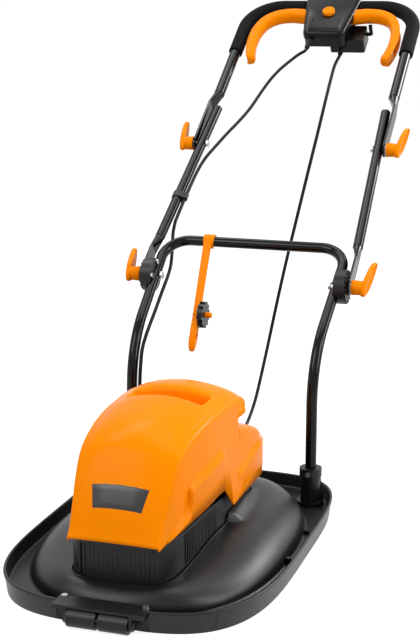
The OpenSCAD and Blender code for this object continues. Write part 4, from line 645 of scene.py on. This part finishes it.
hump_end, hump_round, hump_steps = 164, 7, 6


def hump_ring(y, bull=0):
    """One cross-section of the hump behind the tail; its sides run on from the cover's own."""
    crease = curve([24, 70, 100, 130, 164], [200, 187, 178, 166, 150], y)
    draw_in = 1 - 0.1 * ease(y, 120, 172)
    wide, foot_w = side_x(tail_y, crease - crease_r) * draw_in, side_x(tail_y, skirt_z) * draw_in
    right = side_rows((foot_w, skirt_z), (wide, crease), crease_r, ledge_z(y), ledge_out(y))
    rise = curve([24, 70, 164], [2, 8, 8], y)
    flat_w = wide - crease_r
    for share in (1, 0.85, 0.65, 0.4, 0.15, 0):
        right.append((flat_w * share, crease + rise * (1 - share * share)))
    shrink = hump_round * (1 - math.cos(bull))
    right = [(x - shrink, max(skirt_z, z - shrink * (z - skirt_z) / 60)) for x, z in right]
    return both_sides(right, y + hump_round * math.sin(bull))


hump_rings = [hump_ring(y) for y in steps_between(tail_y, hump_end, 7) + [hump_end]]
hump_rings += [hump_ring(hump_end, math.pi / 2 * k / hump_steps) for k in range(1, hump_steps + 1)]
hump_rings.append([Vector((point.x * 0.5, point.y, (point.z + skirt_z * MM) / 2))
                   for point in hump_rings[-1]])
hump_rings.append([Vector((0, point.y, skirt_z * MM)) for point in hump_rings[-1]])
hump = skin("hump", hump_rings, around=False, caps=False, sharp=32)
join(cover, tail, tail_floor, bulkhead, hump)
shell = cover.modifiers.new("wall", "SOLIDIFY")
shell.thickness, shell.offset = cover_wall * MM, 0
dress(cover, orange_abs, "deck", "motor_cover")

# Badge plate: a bare trapezoid of dark grey aluminium sheet with eased edges.
# It is cut out, anodised and let into the cover's sloping front.
badge_low_y, badge_high_y, badge_low_w, badge_high_w = -249.5, -233.5, 38, 44.5
badge_forward, badge_up = 0.85, 0.5
badge_rows = ((-0.03, 0), (0, 1), (0.03, 1.5), (0.25, 1.5), (0.5, 1.5), (0.75, 1.5), (0.97, 1.5), (1, 1),
              (1.03, 0))
badge_columns = ((-1, 0), (-0.985, 1), (-0.96, 1.5), (-0.5, 1.5), (0, 1.5), (0.5, 1.5), (0.96, 1.5),
                 (0.985, 1), (1, 0))
# Satin-anodised sheet: a broad, slightly warm sheen.
anodised_plate = moulded("anodised_plate", "#1c1b1d", "#262527", grain=1.2, roughness=0.35, bump=0.05,
                         patch=50)


def cover_top(x, y):
    wide = cover_w / 2 * cover_line(crease_w_shares, y)
    return crease_at(y) + crown_rise * cover_line(crown_shares, y) * (1 - (x / wide) ** 2)


badge_rings = []
for share, row_lift in badge_rows:
    y = badge_low_y + (badge_high_y - badge_low_y) * share
    half = badge_low_w + (badge_high_w - badge_low_w) * share
    row = []
    for side, column_lift in badge_columns:
        x, lift = half * side, min(column_lift, row_lift)
        row.append(deck(x, y - badge_forward * lift, cover_top(x, y) + badge_up * lift))
    badge_rings.append(row)
badge = skin("badge_plate_bare", badge_rings, around=False, caps=False)
dress(badge, anodised_plate, "deck", "badge_plate")

# Tubes: the lower handle, the two middle tubes and the handlebar, which bolts hold together at the folds.
# They are steel tube, bent, flattened at the ends and powder-coated gloss black.
# Powder coat: a hard gloss with the slight orange peel that the baked powder leaves.
powder_coat = moulded("black_powder_coat", "#030304", "#060607", grain=2.2, roughness=0.1, bump=0.002,
                      sheen=0.2)
for node in ("lower_handle", "middle_tube_left", "middle_tube_right", "handlebar"):
    dress(frame["nodes"][node], powder_coat, None)

# Small black mouldings: sockets, rollers, ratchet blocks, caps, clip, plug, switch, impeller and spacers.
# They are moulded in the hood's polypropylene and keep the shape of their solids.
for node in ("handle_sockets", "roller_carrier", "ratchet_blocks", "tube_caps", "lead_clip", "mains_plug",
             "trigger_switch", "hover_impeller", "blade_spacer", "roller_left", "roller_right",
             "spare_spacer"):
    dress(frame["nodes"][node], polypropylene, None)

# Soft pieces: the leads' strain reliefs, the grommet and the coil's tie.
# They are soft PVC, moulded to grip the lead that they sit on.
# Soft PVC: dull and faintly dusty.
soft_pvc = moulded("soft_pvc", "#0e0e0e", "#161616", grain=1.5, roughness=0.6, bump=0.1, sheen=0.25)
for node in ("lead_grommet", "mains_gland", "motor_lead_gland", "coil_tie"):
    dress(frame["nodes"][node], soft_pvc, None)


# Fasteners and axle: the screws, bolts and washers that hold the mower together, the axle and the bearings.
# They are steel, rolled or turned, and plated with bright zinc.
def metal(name, colour, shade, grain, roughness, stretch=(1, 1, 1)):
    """A bare metal: marks of that spacing in mm, drawn out along the tool's way, coarse enough to show."""
    material, tree, shader, place = blank(name)
    shader.inputs["Metallic"].default_value = 1
    drawn = add(tree, "Mapping", {"Vector": place, "Scale": stretch}).outputs["Vector"]
    marks = add(tree, "TexNoise", {"Vector": drawn, "Scale": 1 / (grain * MM), "Detail": 4.0}).outputs["Fac"]
    rough = roughness - 0.08, roughness + 0.08
    wear(tree, shader, (marks, colour, shade), marks, rough, 0.08, grain / 3)
    return material


# Zinc plate: a bright, cool grey whose fine marks soften what it mirrors.
zinc_plate = metal("zinc_plated_steel", "#c4c7cb", "#a9adb2", grain=1.5, roughness=0.3)
for node in ("deck_screws", "ratchet_screws", "lower_bolts", "lower_washers", "upper_bolts", "upper_washers",
             "box_screws", "blade_bolt", "roller_axle", "motor_bearings"):
    dress(frame["nodes"][node], zinc_plate, None)

# Blade and motor: the cutting blade, and the shaft, cores, end plates, windings and brushes of the motor.
# They are ground steel, stacked sheet steel, die-cast alloy and copper, hidden under the cover and the hood.
# Ground steel: a mid grey, streaked along the blade.
blade_steel = metal("ground_blade_steel", "#9a9da1", "#7f8286", grain=1.2, roughness=0.35,
                    stretch=(0.1, 1, 1))
# Stacked sheet steel: a dull grey, ruled by the edges of the sheets.
stacked_steel = metal("stacked_sheet_steel", "#7d7f83", "#65676b", grain=0.8, roughness=0.45,
                      stretch=(0.05, 0.05, 1))
# Die-cast alloy: a pale, matt grey with a soft mottle.
cast_alloy = metal("die_cast_alloy", "#a3a6a9", "#8d9093", grain=2.5, roughness=0.5)
# Copper: a warm brown red, with streaks that stand for the wire.
copper = metal("copper", "#b8703e", "#98552b", grain=0.9, roughness=0.35, stretch=(1, 1, 0.1))
for material, nodes in ((blade_steel, ("cutting_blade", "motor_shaft")),
                        (stacked_steel, ("stator", "armature")),
                        (cast_alloy, ("motor_base", "motor_end_plate")),
                        (copper, ("field_windings", "brush_holders", "commutator"))):
    for node in nodes:
        dress(frame["nodes"][node], material, None)

# Grips: sleeves of black closed-cell foam, pushed over the handlebar's ends and rounded at their mouths.
# They follow the bar from the switch box round the bend and down.
bar_u, bar_x, bar_bend, grip_u, grip_r, bar_r, box_half = 803, 180.5, 75, 645, 14.6, 11, 60
grip_step, bend_steps, grip_sides = 12, 16, 32
grip_sections = [(bar_r, 0), (grip_r - 1.2, 0.1), (grip_r - 0.3, 0.6), (grip_r, 1.9)]
# EVA foam: dull, with a skin of fine pores that scatter light softly; the pores are drawn coarse.
eva_foam = moulded("eva_foam", "#0b0b0b", "#141414", grain=1.6, roughness=0.85, bump=0.5, sheen=0.12)


def grip_path(side):
    """The handlebar's line under a grip."""
    line = [(x, bar_u) for x in steps_between(box_half + 0.3, bar_x - bar_bend, grip_step)]
    for k in range(bend_steps + 1):
        t = math.pi / 2 * k / bend_steps
        line.append((bar_x - bar_bend + bar_bend * math.sin(t), bar_u - bar_bend + bar_bend * math.cos(t)))
    line += [(bar_x, u) for u in steps_between(bar_u - bar_bend - grip_step, grip_u, -grip_step)]
    return [handle(side * x, u, 0) for x, u in line + [(bar_x, grip_u)]]


hands = ((-1, "left"), (1, "right"))
for side, name in hands:
    path = grip_path(side)
    starts = [path[0] + (path[1] - path[0]).normalized() * step * MM for _, step in grip_sections]
    ends = [path[-1] + (path[-2] - path[-1]).normalized() * step * MM for _, step in reversed(grip_sections)]
    mouth = [r for r, _ in grip_sections]
    radii = mouth + [grip_r] * (len(path) - 2) + mouth[::-1]
    rings = round_rings(starts + path[1:-1] + ends, [r * MM for r in radii], grip_sides)
    dress(skin("foam_grip_" + name, rings, sharp=60), eva_foam, "upper_handle", "grip_" + name)

# Trigger levers: two channels that curve inside the grips, open towards the bar.
# They are moulded in the cover's orange ABS, and each swings on a pin through the switch box.
lever_pivot_x, lever_pivot_u, lever_w, lever_t, lever_steps = 44, 765, 25, 20, 6
lever_reach, lever_drop = bar_x - grip_r - 6 - lever_t / 2 - lever_pivot_x, lever_pivot_u - grip_u + 26
lever_route_shares = [(0, 0), (0.2, 0.03), (0.42, 0.04), (0.66, 0), (0.86, -0.12), (0.97, -0.32), (1, -0.56),
                      (0.97, -0.8), (0.9, -1)]
root_size, taper, tip_draw_in = 1.16, 0.2, 0.35
solid_floor, channel_depth = 0.9, 1.3


def lever_outline(floor):
    """The channel's section, as shares of half its depth and half its width, with a round back and lips."""
    back_turns = [math.radians(a) for a in (-78, -60, -40, -20, 0, 20, 40, 60, 78)]
    back = [(-math.cos(t) * 0.75 - 0.25, -math.sin(t)) for t in back_turns]
    lips = [(0.9, 0.97), (1, 0.92), (1, 0.84), (0.92, 0.78)]
    inside = [(min(0.92, floor + 0.25), 0.74), (floor, 0.6), (floor, 0)]
    half = lips + inside
    return back[::-1] + half + [(x, -y) for x, y in reversed(half[:-1])]


lever_route = [Vector((lever_pivot_x + lever_reach * x, lever_pivot_u + lever_drop * u))
               for x, u in lever_route_shares]
lever_line = smooth(lever_route, lever_steps)
last = len(lever_line) - 1
for side, name in hands:
    rings = []
    for i, point in enumerate(lever_line):
        way = (lever_line[min(i + 1, last)] - lever_line[max(i - 1, 0)]).normalized()
        size = (root_size - taper * i / last) * (1 - tip_draw_in * ease(i, last - 2, last + 0.5))
        depth = channel_depth * ease(i, 8, 14) * (1 - ease(i, last - 9, last - 6))
        ring = []
        for x, y in lever_outline(solid_floor - depth):
            deep = x * lever_t / 2 * size
            ring.append(handle(side * (point.x - way.y * deep), point.y + way.x * deep,
                               y * lever_w / 2 * size))
        rings.append(ring)
    dress(skin("trigger_lever_" + name, rings, sharp=55), orange_abs, "lever_" + name, "trigger_" + name)

# Clamp knobs: mouldings with a round hub and one dished, teardrop wing that points up the handle.
# They are the cover's orange ABS, and each screws on a bolt that clamps a fold of the handle.
knob_l, knob_r, knob_turns, wing_lean = 27, 13.5, circle(40), math.radians(7)
wing_mid, wing_half_l, wing_half_w, wing_t, wing_narrows = 22, 40, 14, 8.5, 0.18
upper_run = (upper_fold - fold).length / MM
knob_places = {"lower": (195.8, 0), "upper": (192.9, upper_run)}
hub_profile = [(4.3, 0), (knob_r - 0.6, 0), (knob_r, 0.8), (knob_r - 0.7, 14), (knob_r - 0.9, 20),
               (0.01, 21)]
wing_profile = [(5, 0), (1.5, 0.5), (0.3, 2), (0, 3.5), (0, wing_t - 1.6), (0.7, wing_t - 0.4),
                (1.6, wing_t), (2.6, wing_t - 0.4), (3.4, wing_t - 2), (5.5, wing_t - 3.4), (9, wing_t - 3.8)]


def teardrop(turn, inset):
    """The wing's outline: a leaf that is widest near the hub and narrows to its tip."""
    half_w = (wing_half_w - inset) * (1 - wing_narrows * math.cos(turn))
    return wing_mid + (wing_half_l - inset) * math.cos(turn), half_w * math.sin(turn)


for level, (knob_x, knob_u) in knob_places.items():
    for side, name in hands:
        hub_rings = []
        for r, x in hub_profile:
            hub_rings.append([handle(side * (knob_x + x), knob_u + r * math.cos(t), r * math.sin(t))
                              for t in knob_turns])
        wing_rings = []
        for inset, x in wing_profile:
            ring = []
            for t in knob_turns:
                u, n = teardrop(t, inset)
                out = knob_l - wing_t + x + u * math.sin(wing_lean)
                ring.append(handle(side * (knob_x + out), knob_u + u * math.cos(wing_lean), n))
            wing_rings.append(ring)
        knob = skin("clamp_knob_" + level + "_" + name, hub_rings, caps=False, sharp=50)
        join(knob, skin("wing", wing_rings, sharp=50))
        dress(knob, orange_abs, "clamp_" + level + "_" + name, "knob_" + level + "_" + name)

# Switch box: two black ABS shells screwed together round the handlebar, with a U-shaped ridge in front.
# The orange lock button stands in the ridge's mouth.
box_top_u, box_low_u, toe_half, button_u, button_r = 818, 690, 45, 759, 13
top_corner, toe_corner, ridge_inset, ridge_n, ridge_r = 9, 14, 15, 19.6, 2.4
box_profile = ((4, 0), (1, 0), (0, 0.8), (0, 11), (0.6, 13.6), (2, 16), (4, 17.6), (7, 19), (8.8, 20))
button_profile = [(button_r - 1, 8), (button_r - 0.05, 12), (button_r - 0.05, 25), (button_r - 0.5, 26.2),
                  (button_r - 2, 26.9), (button_r * 0.6, 27), (0.01, 26.6)]
# ABS from a lightly polished mould: darker than the hood, with small crisp highlights along its edges.
black_abs = moulded("black_abs_moulded", "#050506", "#09090a", grain=1.1, roughness=0.26, bump=0.06,
                    sheen=0.16)


def round_corners(corners, steps):
    """An outline with four round corners, each given by its middle, its radius and its first angle."""
    points = []
    for x, y, radius, first in corners:
        for k in range(steps + 1):
            turn = math.radians(first + 90 * k / steps)
            points.append((x + radius * math.cos(turn), y + radius * math.sin(turn)))
    return points


def box_outline(inset):
    """The box seen from the front: broad at the bar and narrowing to a round toe."""
    top_x, top_u, top_r = box_half - top_corner, box_top_u - top_corner, top_corner - inset
    toe_x, toe_u, toe_r = toe_half - toe_corner, box_low_u + toe_corner, toe_corner - inset
    return round_corners(((top_x, top_u, top_r, 0), (-top_x, top_u, top_r, 90),
                          (-toe_x, toe_u, toe_r, 180), (toe_x, toe_u, toe_r, 270)), 8)


box_rings = [[handle(x, u, n) for x, u in box_outline(inset)] for inset, n in box_profile]
switch_box = skin("switch_box_front", box_rings, sharp=50)
ridge_end = toe_half - 13.4, button_u - 18
ridge_line = [(x, u) for x, u in box_outline(ridge_inset) if u < button_u - 12]
ridge_line = [(-ridge_end[0], ridge_end[1]), *ridge_line, ridge_end]
ridge = skin("ridge", round_rings([handle(x, u, ridge_n) for x, u in ridge_line], ridge_r * MM, 12))
join(switch_box, ridge)
dress(switch_box, black_abs, "upper_handle", "switch_box")
for node in ("inlet_block", "switch_box_back"):
    dress(frame["nodes"][node], black_abs, None)
button_rings = [[handle(r * math.cos(t), button_u + r * math.sin(t), n) for t in circle(48)]
                for r, n in button_profile]
button = skin("lock_button_cap", button_rings, sharp=50)
dress(button, orange_abs, "safety_button", "lock_button")

# Blade spanner: one orange ABS moulding that clips over the crossbar and hangs from it.
# Its flat shank carries a peg for the spare spacer and ends in a box end with a blind hexagon in its side.
spanner_x, spanner_tilt = -88, math.radians(28)
crossbar = Vector(joints["spanner_swing"]["pos_m"])
clip_in, clip_out, clip_steps, clip_start, clip_sweep = 9.8, 13.3, 24, -96, 276
peg_r, peg_y, peg_z, peg_tip = 5, -13.3, -143, 29
hexagon_r, hexagon_y, hexagon_z, hexagon_floor = 6.5, -11.5, -184, 1.2
shank_sections = [
    (-4, 7.4, -16.2, -10.6, 1), (-20, 7.2, -16.4, -10.4, 1), (-80, 7, -16.4, -10.2, 1),
    (-140, 6.6, -16.4, -10, 1), (-154, 6.6, -16.6, -9, 1.2), (-163, 6.4, -18.4, -6.4, 1.6),
    (-169, 6.2, -19.4, -4.4, 2), (-174, 6.2, -19.6, -3.6, 2.2), (-193, 6.2, -19.6, -3.4, 2.2),
    (-201, 5.8, -18, -3.8, 2.4), (-208, 5, -15.6, -5.4, 2.4), (-211.4, 3.6, -13.2, -7, 2)]
peg_profile = ((-6, peg_r), (peg_tip - 1.4, peg_r), (peg_tip - 0.4, peg_r - 0.4), (peg_tip, peg_r - 1.4))


def on_spanner(x, y, z):
    """A point given from the crossbar's middle line, with z along the hanging shank."""
    lean, hang = math.sin(spanner_tilt), math.cos(spanner_tilt)
    return crossbar + Vector((spanner_x + x, y * hang + z * lean, z * hang - y * lean)) * MM


def rounded_bar(half_x, front, back, corner):
    """A flat bar's section with round corners."""
    x, low_y, high_y = half_x - corner, front + corner, back - corner
    return round_corners(((x, high_y, corner, 0), (-x, high_y, corner, 90),
                          (-x, low_y, corner, 180), (x, low_y, corner, 270)), 4)


shank_rings = [[on_spanner(x, y, z) for x, y in rounded_bar(*section)] for z, *section in shank_sections]
shank = skin("blade_spanner_moulding", shank_rings)
hexagon_points = [(hexagon_y + hexagon_r * math.cos(t), hexagon_z + hexagon_r * math.sin(t))
                  for t in [math.radians(60 * k) for k in range(6)]]
carve(shank, skin("hexagon", [[on_spanner(x, y, z) for y, z in hexagon_points] for x in (hexagon_floor, 9)]))
clip_rings = []
for k in range(clip_steps + 1):
    turn = math.radians(clip_start + clip_sweep * k / clip_steps)
    half = 8.2 + 1.8 * ease(k, 2, 8) * (1 - ease(k, 18, 24))
    clip_rings.append([on_spanner(x, -math.cos(turn) * r, math.sin(turn) * r)
                       for x, r in rounded_bar(half, clip_in, clip_out, 0.9)])
peg_rings = [[on_spanner(x, peg_y + r * math.cos(t), peg_z + r * math.sin(t)) for t in circle(24)]
             for x, r in peg_profile]
join(shank, skin("clip", clip_rings), skin("peg", peg_rings))
dress(shank, orange_abs, "spanner", "blade_spanner")

# Solids that stay in view: the tubes and small mouldings that have no piece of their own above.
# Their facets are welded and shaded smooth, with the edges above an angle kept crisp.
weld_gap, crisp_angle = 0.01, 32
for node in frame["nodes"].values():
    node.data.shade_smooth()
    if "custom_normal" in node.data.attributes:
        node.data.attributes.remove(node.data.attributes["custom_normal"])
    node.modifiers.new("weld", "WELD").merge_threshold = weld_gap * MM
    node.modifiers.new("crisp_edges", "EDGE_SPLIT").split_angle = math.radians(crisp_angle)
